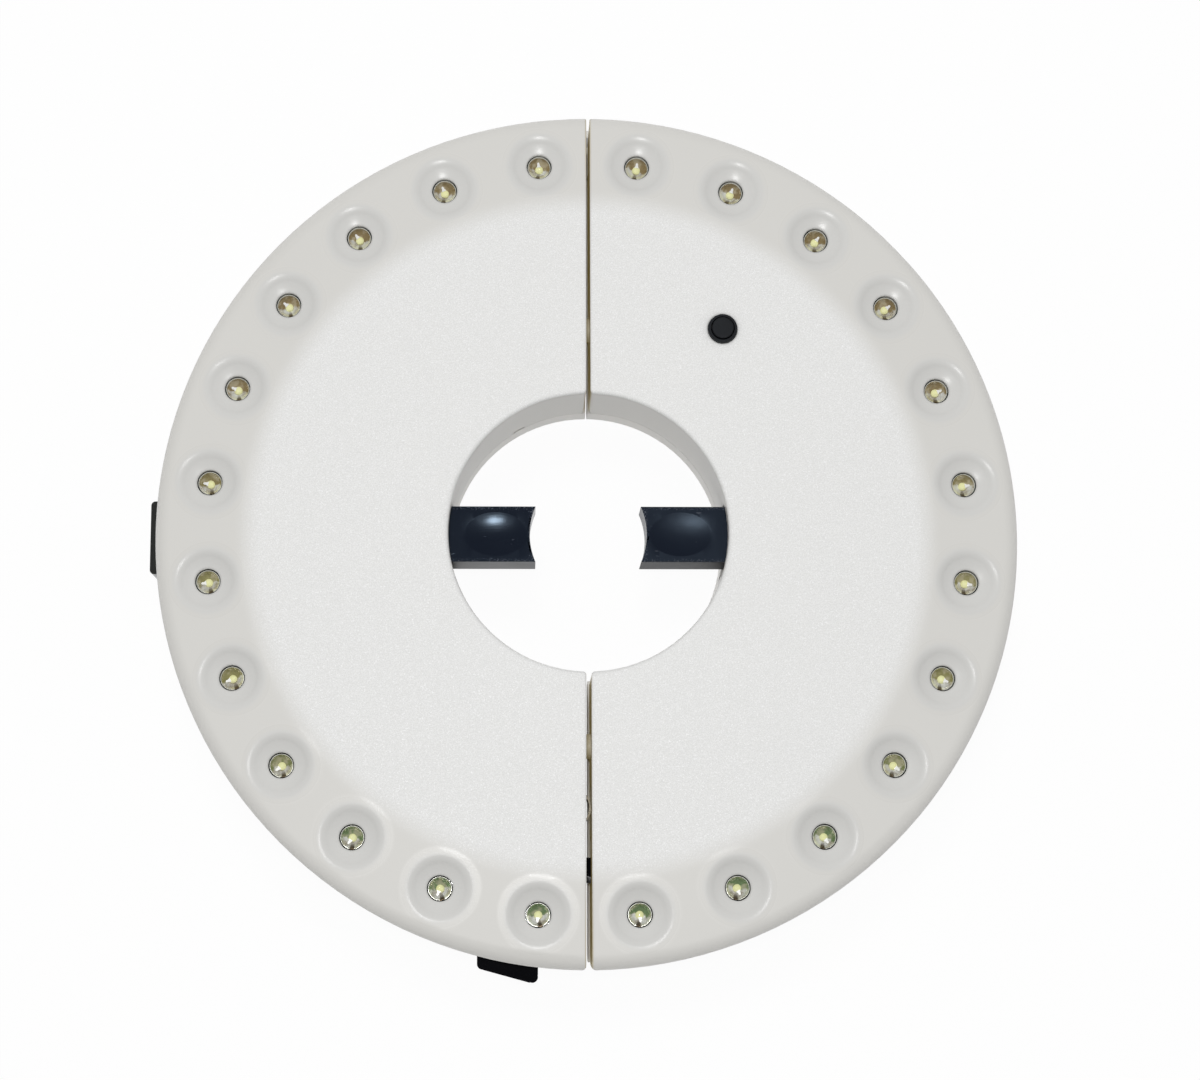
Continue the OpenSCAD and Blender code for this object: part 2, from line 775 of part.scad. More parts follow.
module switch_body() {
    color([0.15, 0.15, 0.16]) translate(switch_pos) difference() {
        centred_block([switch_size, switch_size], switch_z[0], switch_z[1]);
        translate([0, 0, switch_z[1] - 2]) cylinder(r = button_r + cut, h = 5, $fn = 48);
    }
}

module switch_boot() {
    inner = button_r + button_slip;
    flange = boot_r + boot_flange[0];
    ledge_z = boot_foot_z + boot_flange[1];
    color(gloss_black) translate(switch_pos) rotate_extrude($fn = 48)
        polygon([[inner, boot_foot_z], [flange, boot_foot_z], [flange, ledge_z], [boot_r, ledge_z],
                 [boot_r, boot_top_z - 0.3], [boot_r - 0.3, boot_top_z], [inner, boot_top_z]]);
}

module switch_button() {
    foot_z = switch_z[1] - slip;
    color(gloss_black) translate(switch_pos) rotate_extrude($fn = 48)
        polygon([[0, foot_z], [button_r, foot_z], [button_r, button_top_z - 0.4],
                 [button_r - 0.4, button_top_z], [0, button_top_z]]);
}

module driver_board() {
    color(board_green) translate(switch_pos) difference() {
        centred_block(driver_size, driver_z - board_h, driver_z);
        for (p = driver_posts) translate(p) cylinder(r = post_pin_r + post_slip, h = tall, $fn = 24);
    }
}

// Two sprung fingers on the left half reach across the split to the plates on the right half
module contact_fingers() {
    bow = finger_x[1] - finger_x[0];
    bow_r = (pow(contact_w / 2, 2) + pow(bow, 2)) / (2 * bow);
    foot = [contact_w / 2 - 0.6, contact_w / 2 + 2.4];
    color(brass_colour) for (z = contacts_z) translate([0, contact_y, z]) linear_extrude(contact_h) {
        intersection() {
            translate([finger_x[1] - bow_r, 0]) difference() {
                circle(bow_r, $fn = 64);
                circle(bow_r - contact_t, $fn = 64);
            }
            translate([finger_x[0], -contact_w]) square([contact_w, 2 * contact_w]);
        }
        for (y = [foot[0], -foot[1]])
            translate([finger_x[0], y]) square([contact_t, foot[1] - foot[0]]);
    }
}

module contact_plates() {
    color(brass_colour) for (z = contacts_z) translate([plate_x, contact_y, z]) {
        block([0, -contact_w / 2, 0], [contact_t, contact_w / 2, contact_h]);
        translate([0, 0, contact_h / 2])
            block([0, -contact_tail[0], -contact_t / 2],
                  [contact_tail[1] - plate_x, contact_tail[0], contact_t / 2]);
    }
}

// ---------------------------------------------------------------- batteries

// One cell; the second cell of a bay lies the other way round
module cell(side, second) {
    nub_x = bay_in.x / 2 - cell_end_gap;
    color([0.2, 0.25, 0.3]) in_bay(side) rotate(second ? 180 : 0)
        translate([0, -cell_pitch / 2, cell_z]) {
            translate([nub_x - cell_len, 0, 0]) rotate([0, 90, 0])
                cylinder(d = cell_d, h = cell_len - nub_l);
            translate([nub_x - nub_l - cut, 0, 0]) rotate([0, 90, 0])
                cylinder(r = nub_r, h = nub_l + cut, $fn = 48);
        }
}

// Terminal at one end of a bay, seen with that end wall at x = 0 and the bay towards +x
module terminal_plate(y, w = terminal[0]) {
    translate([terminal_gap, y, cell_z])
        block([0, -w / 2, -terminal[1] / 2], [terminal_t, w / 2, terminal[1] / 2]);
}

module terminal_dimple(y) {
    translate([terminal_gap, y, cell_z]) rotate([0, 90, 0])
        cylinder(r1 = dimple_r[0], r2 = dimple_r[1], h = 1, $fn = 32);
}

module terminal_coil(y) {
    l = bay_in.x - cell_end_gap - cell_len - 3 * terminal_gap;
    translate([terminal_gap, y, cell_z]) rotate([0, 90, 0]) difference() {
        cylinder(r1 = coil_r[0], r2 = coil_r[1], h = l, $fn = 48);
        translate([0, 0, 2 * terminal_t])
            cylinder(r1 = coil_r[0] - coil_wire, r2 = coil_r[1] - coil_wire, h = l, $fn = 48);
    }
}

module cell_bridge(side) {
    color(brass_colour) in_bay(side) rotate(180) translate([-bay_in.x / 2, 0, 0]) {
        terminal_plate(0, cell_pitch + terminal[0]);
        terminal_dimple(cell_pitch / 2);
        terminal_coil(-cell_pitch / 2);
    }
}

module cell_spring(side) {
    color(brass_colour) in_bay(side) translate([-bay_in.x / 2, 0, 0]) {
        terminal_plate(-cell_pitch / 2);
        terminal_coil(-cell_pitch / 2);
    }
}

module cell_plate(side) {
    color(brass_colour) in_bay(side) translate([-bay_in.x / 2, 0, 0]) {
        terminal_plate(cell_pitch / 2);
        terminal_dimple(cell_pitch / 2);
    }
}

module battery_door(side) {
    size = door_recess - 2 * door_gap * [1, 1];
    low = door_recess_h - door_t - door_lift;
    inside = low + door_t;
    end = bay_in.x / 2;
    color(shell_white) in_bay(side) {
        difference() {
            centred_block(size, low, inside);
            translate([end - 4, 0, low - grip_ball_r + grip_depth]) sphere(grip_ball_r);
        }
        for (y = door_tabs_y) {
            block([slip - end, y - door_tab[0], inside - cut],
                  [door_t - end, y + door_tab[0], door_tab_z[1]]);
            block([-end - door_tab[1], y - door_tab[0], door_tab_z[0]],
                  [door_t - end, y + door_tab[0], door_tab_z[1]]);
        }
        block([end - door_tongue[1] - 0.4, -door_tongue[0], inside - cut],
              [end - 0.4, door_tongue[0], door_tongue[2]]);
    }
}

// ---------------------------------------------------------------- screws

module shell_screw() {
    translate([0, 0, screw_seat_z - screw_head_h]) cylinder(r = screw_head_r, h = screw_head_h, $fn = 32);
    translate([0, 0, screw_seat_z - cut]) cylinder(r = screw_r, h = screw_l, $fn = 32);
}

module shell_screws(side) {
    color(steel) at_screws(side) shell_screw();
}

// ---------------------------------------------------------------- assembly

front_shell_left();
front_shell_right();
back_shell_left();
back_shell_right();
hinge_pin();
led_board(left);  // led_board_left
led_board(right);  // led_board_right
jaw_left();
jaw_right();
jaw_spring(left);  // jaw_spring_left
jaw_spring(right);  // jaw_spring_right
latch_lever();
latch_pin();
latch_spring();
switch_body();
switch_boot();
switch_button();
driver_board();
contact_fingers();
contact_plates();
battery_door(left);  // battery_door_left
battery_door(right);  // battery_door_right
cell_bridge(left);  // cell_bridge_left
cell_bridge(right);  // cell_bridge_right
cell_spring(left);  // cell_spring_left
cell_spring(right);  // cell_spring_right
cell_plate(left);  // cell_plate_left
cell_plate(right);  // cell_plate_right
shell_screws(left);  // shell_screws_left
shell_screws(right);  // shell_screws_right
for (i = [1:4])
    cell(i < 3 ? left : right, i % 2 == 0);
for (i = [1:light_count])
    led_number(i);
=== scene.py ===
"""Looks of the patio umbrella light: two hinged half-rings that clamp round a pole."""

import math

import bmesh
import bpy
from mathutils import Matrix, Vector


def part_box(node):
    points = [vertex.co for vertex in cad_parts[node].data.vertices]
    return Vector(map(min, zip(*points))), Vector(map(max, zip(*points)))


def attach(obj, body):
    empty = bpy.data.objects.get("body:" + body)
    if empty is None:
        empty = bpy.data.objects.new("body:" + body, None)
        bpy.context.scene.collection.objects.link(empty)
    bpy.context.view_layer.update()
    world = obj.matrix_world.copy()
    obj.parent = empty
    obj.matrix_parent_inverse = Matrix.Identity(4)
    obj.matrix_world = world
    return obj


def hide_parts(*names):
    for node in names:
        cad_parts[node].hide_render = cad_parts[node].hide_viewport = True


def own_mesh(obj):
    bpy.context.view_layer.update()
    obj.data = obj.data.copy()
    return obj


MM = 0.001

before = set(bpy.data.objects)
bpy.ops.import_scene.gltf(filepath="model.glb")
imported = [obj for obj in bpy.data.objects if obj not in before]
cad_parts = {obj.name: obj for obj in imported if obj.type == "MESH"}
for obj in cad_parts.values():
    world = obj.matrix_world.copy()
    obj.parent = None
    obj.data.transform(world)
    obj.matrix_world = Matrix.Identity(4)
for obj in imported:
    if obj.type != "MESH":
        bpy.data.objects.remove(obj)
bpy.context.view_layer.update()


# ------------------------------------------------------------------ camera

PHOTO_WIDTH, FOCAL, SENSOR = 1200.0, 2651.0, 36.0         # pixels, pixels, millimetres
CAMERA_PLACE = (-0.0150, -0.0976, 0.6342)
CAMERA_ROLL, CAMERA_YAW, CAMERA_PITCH = -0.12, 1.65, -9.0    # degrees about Z, Y and X


def place_camera():
    """The camera that took the photograph, found from the rim, the hole and the lights."""
    data = bpy.data.cameras.new("photo_camera")
    data.sensor_fit = "HORIZONTAL"
    data.sensor_width = SENSOR
    data.lens = SENSOR * FOCAL / PHOTO_WIDTH
    data.clip_start, data.clip_end = 0.01, 50.0
    camera = bpy.data.objects.new("photo_camera", data)
    bpy.context.scene.collection.objects.link(camera)
    turn = (Matrix.Rotation(math.radians(CAMERA_ROLL), 3, "Z")
            @ Matrix.Rotation(math.radians(CAMERA_YAW), 3, "Y")
            @ Matrix.Rotation(math.radians(CAMERA_PITCH), 3, "X"))
    camera.matrix_world = Matrix.Translation(CAMERA_PLACE) @ turn.transposed().to_4x4()
    bpy.context.scene.camera = camera


place_camera()


# ------------------------------------------------------------------ node trees written as sums

class Wire:
    """One output of a node. Arithmetic on it adds Math nodes to the same tree."""

    def __init__(self, plan, socket):
        self.plan, self.socket = plan, socket

    def __add__(self, other):
        return self.plan.maths("ADD", self, other)

    def __sub__(self, other):
        return self.plan.maths("SUBTRACT", self, other)

    def __rsub__(self, other):
        return self.plan.maths("SUBTRACT", other, self)

    def __mul__(self, other):
        return self.plan.maths("MULTIPLY", self, other)

    def __truediv__(self, other):
        return self.plan.maths("DIVIDE", self, other)

    def __pow__(self, other):
        return self.plan.maths("POWER", self, other)

    __radd__ = __add__
    __rmul__ = __mul__

    def fade(self, low, high):
        """0 below low and 1 above high, or the other way round where low is the larger."""
        return self.plan.add("ShaderNodeMapRange", {"interpolation_type": "SMOOTHSTEP"},
                             {"Value": self, "From Min": low, "From Max": high})["Result"]


class Made:
    """A node that was added to a plan. made["Name"] is the output of that name."""

    def __init__(self, plan, node):
        self.plan, self.node = plan, node

    def __getitem__(self, name):
        return Wire(self.plan, self.node.outputs[name])


class Plan:
    """A node tree that is built by add()."""

    def __init__(self, tree):
        self.tree = tree

    def add(self, kind, settings=None, sockets=None):
        node = self.tree.nodes.new(kind)
        for name, value in (settings or {}).items():
            setattr(node, name, value)
        for name, value in (sockets or {}).items():
            if isinstance(value, Wire):
                self.tree.links.new(value.socket, node.inputs[name])
            else:
                node.inputs[name].default_value = value
        return Made(self, node)

    def maths(self, operation, *values):
        return self.add("ShaderNodeMath", {"operation": operation}, dict(enumerate(values)))["Value"]

    def mix(self, share, first, second):
        """Colour that goes from first to second."""
        made = self.add("ShaderNodeMix", {"data_type": "RGBA"}, {0: share, 6: first, 7: second})
        return Wire(self, made.node.outputs[2])

    def place(self):
        """Position on the object, in metres of the shared frame."""
        return self.add("ShaderNodeTexCoord")["Object"]

    def axes(self, place):
        split = self.add("ShaderNodeSeparateXYZ", None, {"Vector": place})
        return split["X"], split["Y"], split["Z"]

    def noise(self, place, size, detail=2.0):
        """Cloudy noise whose blotches are about size metres across."""
        return self.add("ShaderNodeTexNoise", None,
                        {"Vector": place, "Scale": 0.5 / size, "Detail": detail})["Fac"]

    def bump(self, height, distance, strength=1.0, soft_edge=None):
        sockets = {"Height": height, "Distance": distance, "Strength": strength}
        if soft_edge:
            sockets["Normal"] = self.add("ShaderNodeBevel", {"samples": 6}, {"Radius": soft_edge})["Normal"]
        return self.add("ShaderNodeBump", None, sockets)["Normal"]

    def stretched(self, place, scale):
        return self.add("ShaderNodeVectorMath", {"operation": "MULTIPLY"}, {0: place, 1: scale})["Vector"]


def colour(red, green, blue):
    return (red, green, blue, 1.0)


def finish(name, recipe, **constants):
    """A material. recipe(plan) gives what changes over the surface, and constants the rest."""
    material = bpy.data.materials.new(name)
    material.use_nodes = True
    material.node_tree.nodes.clear()
    plan = Plan(material.node_tree)
    sockets = {key.replace("_", " "): value for key, value in constants.items()}
    sockets.update(recipe(plan))
    shader = plan.add("ShaderNodeBsdfPrincipled", None, sockets)
    plan.add("ShaderNodeOutputMaterial", None, {"Surface": shader["BSDF"]})
    return material


# ------------------------------------------------------------------ finishes

LIGHT_PITCH = math.radians(15.0)
LIGHT_RING = 88.3

# Where the front housing's finish, its painted shade and its painted glow change, in metres. Each pair goes
# from none of it to all of it.
DISH_SHADE_EDGE, LIP_EDGE = (0.0085, 0.0072), (0.0098, 0.0088)     # distance from a light
BAND_HEIGHT = (0.0240, 0.0250)
FACE_EDGE, FACE_HEIGHT = (0.0820, 0.0750), (0.0300, 0.0306)    # distance from the pole, and height
SPLIT_HALF, SPLIT_TAPER = 0.00054, 0.0015                      # half the split's width, and its taper
# where the split's walls get a painted tan tint and a painted glow
SPLIT_GLOW_EDGE, SPLIT_GLOW_HEIGHT = (0.00034, 0.00016), (0.0312, 0.0302)


def housing_recipe(plan):
    """Ivory plastic: grained on the flat face, warmer on the band, smoother on the dishes' lips; painted
    shade in the dishes, painted glints in the grain and a painted tan glow in the split.
    """
    place = plan.place()
    x, y, z = plan.axes(place)
    from_pole = (x * x + y * y) ** 0.5
    turn = plan.maths("FRACT", plan.maths("ARCTAN2", y, x) / LIGHT_PITCH) - 0.5
    along, out = turn * from_pole * LIGHT_PITCH, from_pole - LIGHT_RING * MM
    from_light = (along * along + out * out) ** 0.5
    dish = from_light.fade(*DISH_SHADE_EDGE) * z.fade(*BAND_HEIGHT)
    lip = from_light.fade(*LIP_EDGE) * z.fade(*BAND_HEIGHT)
    face = from_pole.fade(*FACE_EDGE) * z.fade(*FACE_HEIGHT)
    grain = plan.noise(place, 0.00013, 1.0)
    glint_specks = plan.noise(place, 0.00014, 0.0).fade(0.67, 0.76)
    cloud = plan.noise(place, 0.03, 2.0)
    warm = plan.mix(cloud, colour(0.672, 0.662, 0.632), colour(0.702, 0.692, 0.662))
    pale = plan.mix(grain.fade(0.34, 0.66), colour(0.765, 0.765, 0.752), colour(0.845, 0.845, 0.835))
    # Painted glints: specks of the grain get a near-white colour, and a lower roughness too.
    pale = plan.mix(glint_specks, pale, colour(0.93, 0.93, 0.93))
    # Painted light in the split: its walls get a tan tint and a faint tan glow, which stand for light
    # scattered through the plastic.
    past_split = plan.maths("ABSOLUTE", x) + y * SPLIT_TAPER - SPLIT_HALF
    split_glow = past_split.fade(*SPLIT_GLOW_EDGE) * z.fade(*SPLIT_GLOW_HEIGHT)
    # Painted shade: the dishes' hollows get a greyer, darker colour than the band.
    plastic = plan.mix(face, plan.mix(dish, warm, colour(0.662, 0.658, 0.638)), pale)
    return {"Base Color": plan.mix(split_glow, plastic, colour(0.60, 0.56, 0.46)),
            "Emission Color": plan.mix(split_glow, colour(0, 0, 0), colour(0.034, 0.026, 0.007)),
            "Roughness": 0.42 + face * (0.08 - 0.20 * glint_specks) - lip * 0.18 + 0.04 * cloud,
            "Normal": plan.bump(grain * (0.25 + 0.75 * face), 0.00007, 0.75, soft_edge=0.0010)}


def back_recipe(plan):
    place = plan.place()
    grain = plan.noise(place, 0.0004, 2.0)
    cloud = plan.noise(place, 0.02, 3.0)
    return {"Base Color": plan.mix(cloud, colour(0.745, 0.730, 0.700), colour(0.790, 0.775, 0.745)),
            "Roughness": 0.34 + 0.14 * grain,
            "Normal": plan.bump(grain, 0.00005, 0.5, soft_edge=0.0004)}


def jaw_recipe(plan):
    """Glossy blue-black plastic with fine scratches, speckled along its worn edges."""
    place = plan.place()
    x, y, _ = plan.axes(place)
    tip = plan.maths("ABSOLUTE", x).fade(0.0170, 0.0130)
    near_edge = plan.maths("MAXIMUM", plan.maths("ABSOLUTE", y) / 0.0065, tip)
    speckle = plan.noise(place, 0.00016, 2.0).fade(0.55, 0.66)
    scratch = plan.noise(plan.stretched(place, (0.22, 1.0, 1.0)), 0.0003, 3.0).fade(0.70, 0.76)
    cloud = plan.noise(place, 0.004, 2.0)
    jaw = plan.maths("ABSOLUTE", x).fade(0.0360, 0.0350)
    side = plan.maths("ABSOLUTE", y).fade(0.00635, 0.00645) * jaw
    worn = (speckle * near_edge.fade(0.84, 1.0) * 0.6 + scratch * 0.25) * (jaw - side)
    tab = plan.maths("ABSOLUTE", x).fade(0.0900, 0.0930)
    # Painted light: the sides get a lighter, greyer black than the top, for the light they catch.
    body = plan.mix(side, colour(0.003, 0.0045, 0.011), colour(0.017, 0.015, 0.016))
    plastic = plan.mix(tab, body, colour(0.022, 0.021, 0.017))
    return {"Base Color": plan.mix(worn, plastic, colour(0.16, 0.17, 0.20)),
            "Roughness": 0.15 + 0.25 * worn + 0.08 * cloud + x.fade(0.0, 0.01) * 0.12 + 0.20 * side,
            "Normal": plan.bump(worn + cloud * 2.0, 0.00006, 0.6)}


def latch_recipe(plan):
    place = plan.place()
    cloud = plan.noise(place, 0.004, 2.0)
    fine = plan.noise(place, 0.0003, 2.0)
    return {"Base Color": plan.mix(cloud, colour(0.002, 0.002, 0.003), colour(0.005, 0.005, 0.007)),
            "Roughness": 0.10 + 0.06 * cloud,
            "Normal": plan.bump(fine, 0.00002, 0.3)}


def rubber_recipe(plan):
    place = plan.place()
    grain = plan.noise(place, 0.00018, 3.0)
    cloud = plan.noise(place, 0.002, 2.0)
    return {"Base Color": plan.mix(cloud, colour(0.007, 0.008, 0.010), colour(0.015, 0.017, 0.020)),
            "Roughness": 0.46 + 0.14 * grain,
            "Normal": plan.bump(grain, 0.00004, 0.5)}


def lens_recipe(plan):
    """Clear resin: see-through in the middle and glassier where it curves away."""
    place = plan.place()
    ripple = plan.noise(place, 0.002, 1.0)
    # Painted edge: where the lens curves away it turns more opaque and shows its grey colour, a painted
    # stand-in for the light it bends and reflects there.
    edge = plan.add("ShaderNodeLayerWeight", None, {"Blend": 0.30})["Facing"]
    return {"Base Color": plan.mix(ripple, colour(0.62, 0.62, 0.58), colour(0.72, 0.72, 0.68)),
            "Roughness": 0.02 + 0.03 * ripple,
            "Alpha": 0.04 + 0.20 * edge ** 3.0,
            "Normal": plan.bump(ripple, 0.0002, 0.2)}


FULL_TURN = 6.283


def cup_recipe(plan):
    """Reflector: a bright painted flash reflection on the lower side, painted shade from brown to green
    above, dark slots of painted shade beside the post.
    """
    turn, out, _ = plan.axes(plan.add("ShaderNodeUVMap", {"uv_map": "around"})["UV"])
    place = plan.place()
    y = plan.axes(place)[1]
    each = plan.noise(place, 0.035, 1.0)
    streak = plan.noise(place, 0.0009, 2.0)
    shifted = turn + 0.30 * (each - 0.5)
    # Painted shade: the dark slots beside the post.
    slot = plan.maths("ABSOLUTE", shifted - 0.76).fade(0.050, 0.025) * out.fade(0.95, 0.75)
    # Painted reflection: one side of each cup gets the flash's reflection in bright, streaked colour.
    lit = plan.maths("SINE", (shifted + 0.50) * FULL_TURN) * 0.75 + streak * 1.1 - 0.25
    # Painted shade on the other side, tinted by the light's place on the ring: green low down, brown high
    # up, lightened in streaks.
    green = plan.mix(y.fade(-0.075, -0.035), colour(0.13, 0.21, 0.08), colour(0.28, 0.26, 0.09))
    shade = plan.mix(y.fade(-0.02, 0.04), green, colour(0.25, 0.18, 0.07))
    shade = plan.mix(streak.fade(0.45, 0.62), shade, plan.mix(0.5, shade, colour(0.62, 0.56, 0.40)))
    bright = lit.fade(0.24, 0.50)
    plates = plan.mix(streak.fade(0.35, 0.65), colour(0.60, 0.56, 0.47), colour(0.94, 0.95, 0.92))
    rim = out.fade(0.69, 0.66)
    cup = plan.mix(rim, plan.mix(bright, shade, plates), colour(0.80, 0.80, 0.74))
    return {"Base Color": plan.mix(slot, cup, colour(0.09, 0.06, 0.03)),
            "Metallic": 0.15 + 0.50 * bright,
            "Roughness": 0.20 + 0.18 * streak,
            "Normal": plan.bump(streak, 0.00014, 0.5)}


def chip_recipe(plan):
    grain = plan.noise(plan.place(), 0.0003, 2.0)
    return {"Base Color": plan.mix(grain, colour(0.84, 0.84, 0.36), colour(0.95, 0.95, 0.58)),
            "Roughness": 0.45 + 0.15 * grain}


def post_recipe(plan):
    grain = plan.noise(plan.place(), 0.0003, 2.0)
    # The near-white colour is partly the tin's own and partly a painted glint on the post.
    return {"Base Color": plan.mix(grain, colour(0.86, 0.86, 0.83), colour(0.97, 0.97, 0.95)),
            "Roughness": 0.30 + 0.15 * grain}


def board_recipe(plan):
    """Green board with a paler copper track along either edge."""
    place = plan.place()
    x, y, _ = plan.axes(place)
    from_pole = (x * x + y * y) ** 0.5
    from_middle = plan.maths("ABSOLUTE", from_pole - 0.08825)
    track = plan.maths("ABSOLUTE", from_middle - 0.0040).fade(0.0008, 0.0006)
    cloud = plan.noise(place, 0.004, 2.0)
    green = plan.mix(cloud, colour(0.020, 0.110, 0.045), colour(0.030, 0.160, 0.065))
    return {"Base Color": plan.mix(track * 0.7, green, colour(0.10, 0.30, 0.10)),
            "Roughness": 0.30 + 0.12 * cloud,
            "Normal": plan.bump(track, 0.00004, 0.6)}


def metal_recipe(dark, light, roughness):
    """Recipe for bare metal, brushed along Z and lightly stained from dark to light."""
    def recipe(plan):
        place = plan.place()
        brushed = plan.noise(plan.stretched(place, (1.0, 1.0, 0.15)), 0.0006, 3.0)
        stain = plan.noise(place, 0.004, 2.0)
        return {"Base Color": plan.mix(stain, colour(*dark), colour(*light)),
                "Roughness": roughness + 0.16 * brushed,
                "Normal": plan.bump(brushed, 0.00003, 0.4)}
    return recipe


def switch_recipe(plan):
    grain = plan.noise(plan.place(), 0.0005, 2.0)
    return {"Base Color": plan.mix(grain, colour(0.018, 0.018, 0.020), colour(0.035, 0.035, 0.038)),
            "Roughness": 0.36 + 0.14 * grain,
            "Normal": plan.bump(grain, 0.00004, 0.5)}


def sleeve_recipe(plan):
    """Cell sleeve: slate blue, a pale band near the nub and bare metal ends, by place along the cell."""
    along = plan.axes(plan.add("ShaderNodeUVMap", {"uv_map": "around"})["UV"])[1]
    place = plan.place()
    cloud = plan.noise(place, 0.008, 2.0)
    band = along.fade(0.700, 0.703) * along.fade(0.772, 0.769)
    slate = plan.mix(cloud, colour(0.030, 0.070, 0.130), colour(0.045, 0.095, 0.170))
    end = along.fade(0.126, 0.124) + along.fade(0.868, 0.870)
    wrapped = plan.mix(band, slate, colour(0.62, 0.64, 0.66))
    return {"Base Color": plan.mix(end, wrapped, colour(0.70, 0.70, 0.69)),
            "Metallic": end,
            "Roughness": 0.24 + 0.10 * cloud,
            "Normal": plan.bump(cloud, 0.0001, 0.2)}


# Its emission is only the painted tan glow on the split's walls.
ivory = finish("ivory_housing", housing_recipe, Specular_IOR_Level=0.5, Emission_Strength=1.0)
ivory_back = finish("ivory_back", back_recipe, Specular_IOR_Level=0.5)
jaw_black = finish("blue_black_jaw", jaw_recipe, Specular_IOR_Level=0.28,
                   Specular_Tint=colour(0.62, 0.80, 1.0))
latch_black = finish("black_latch", latch_recipe, Specular_IOR_Level=0.04)
rubber = finish("black_rubber", rubber_recipe, Specular_IOR_Level=0.2)
resin = finish("clear_resin", lens_recipe, IOR=1.5, Specular_IOR_Level=1.0)
silvered = finish("silvered_cup", cup_recipe)
phosphor = finish("yellow_phosphor", chip_recipe)
tinned = finish("tinned_post", post_recipe, Metallic=0.2)
board_green = finish("green_board", board_recipe, Coat_Weight=0.3)
steel = finish("bright_steel", metal_recipe((0.42, 0.42, 0.43), (0.66, 0.66, 0.67), 0.22), Metallic=1.0)
zinc = finish("zinc_plated_screw", metal_recipe((0.40, 0.41, 0.43), (0.62, 0.62, 0.62), 0.30),
              Metallic=1.0)
nickel = finish("nickelled_contact", metal_recipe((0.50, 0.45, 0.36), (0.68, 0.64, 0.55), 0.24),
                Metallic=1.0)
dull_brass = finish("dull_brass_contact", metal_recipe((0.20, 0.17, 0.12), (0.34, 0.31, 0.25), 0.42),
                    Metallic=1.0)
switch_black = finish("black_switch", switch_recipe)
sleeve = finish("cell_sleeve", sleeve_recipe)


# ------------------------------------------------------------------ mesh helpers

def piece_from(name, mesh, material, body, replaced=()):
    """Adds a finished piece at the origin: its finish, the body it rides on and what it stands for."""
    piece = bpy.data.objects.new(name, mesh)
    bpy.context.scene.collection.objects.link(piece)
    mesh.materials.clear()
    mesh.materials.append(material)
    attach(piece, body)
    if replaced:
        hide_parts(*replaced)
    return piece


def smooth(mesh, angle=32.0):
    for face in mesh.polygons:
        face.use_smooth = True
    mesh.set_sharp_from_angle(angle=math.radians(angle))
    return mesh


def turned(name, profile, sides=48):
    """Mesh turned round Z from (radius, height) pairs in millimetres.

    Its UV map "around" holds the share of a turn and the share of the profile's length.
    """
    shape = bmesh.new()
    uv = shape.loops.layers.uv.new("around")
    rings = []
    for radius, height in profile:
        count = 1 if radius == 0 else sides
        rings.append([shape.verts.new((radius * MM * math.cos(2 * math.pi * i / sides),
                                       radius * MM * math.sin(2 * math.pi * i / sides), height * MM))
                      for i in range(count)])
    lengths = [0.0]
    for (r0, z0), (r1, z1) in zip(profile, profile[1:]):
        lengths.append(lengths[-1] + math.hypot(r1 - r0, z1 - z0))
    for k in range(len(rings) - 1):
        low, high = rings[k], rings[k + 1]
        for i in range(sides):
            corners = [(low[i % len(low)], i, k), (low[(i + 1) % len(low)], i + 1, k),
                       (high[(i + 1) % len(high)], i + 1, k + 1), (high[i % len(high)], i, k + 1)]
            kept = [c for n, c in enumerate(corners) if c[0] not in [b[0] for b in corners[:n]]]
            if len(kept) < 3:
                continue
            face = shape.faces.new([c[0] for c in kept])
            for loop, (_, i_turn, i_ring) in zip(face.loops, kept):
                loop[uv].uv = (i_turn / sides, lengths[i_ring] / lengths[-1])
    bmesh.ops.recalc_face_normals(shape, faces=shape.faces)
    mesh = bpy.data.meshes.new(name)
    shape.to_mesh(mesh)
    shape.free()
    return smooth(mesh)


def arc(centre_r, centre_z, radius, start, end, steps):
    """Points of a profile along an arc, angles in degrees from the outward direction."""
    angles = [math.radians(start + (end - start) * i / steps) for i in range(steps + 1)]
    return [(max(0.0, round(centre_r + radius * math.cos(a), 6)), centre_z + radius * math.sin(a))
            for a in angles]


SAME_POINT = 0.000002                 # metres
FLAT_TURN = math.radians(0.3)         # faces that turn less than this are one face


def merged(node):
    """A copy of a CAD node's mesh for editing, with its loose triangles joined."""
    shape = bmesh.new()
    shape.from_mesh(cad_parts[node].data)
    bmesh.ops.remove_doubles(shape, verts=shape.verts, dist=SAME_POINT)
    bmesh.ops.dissolve_limit(shape, angle_limit=FLAT_TURN, verts=shape.verts, edges=shape.edges)
    return shape


def softened(name, shape, width, segments=3, angle=35.0, crisp=40.0):
    """Plain mesh of an edited shape with its sharp edges rounded. Turns past crisp degrees stay sharp."""
    mesh = bpy.data.meshes.new(name)
    shape.to_mesh(mesh)
    shape.free()
    holder = bpy.data.objects.new(name, mesh)
    bpy.context.scene.collection.objects.link(holder)
    round_edges = holder.modifiers.new("round_edges", "BEVEL")
    round_edges.width = width * MM
    round_edges.segments = segments
    round_edges.limit_method = "ANGLE"
    round_edges.angle_limit = math.radians(angle)
    return smooth(applied(holder), crisp)


def applied(holder):
    """The plain mesh that an object's modifiers give. The object is removed."""
    bpy.context.view_layer.update()
    evaluated = holder.evaluated_get(bpy.context.evaluated_depsgraph_get())
    mesh = bpy.data.meshes.new_from_object(evaluated)
    bpy.data.objects.remove(holder)
    return mesh


# ------------------------------------------------------------------ geometry node trees

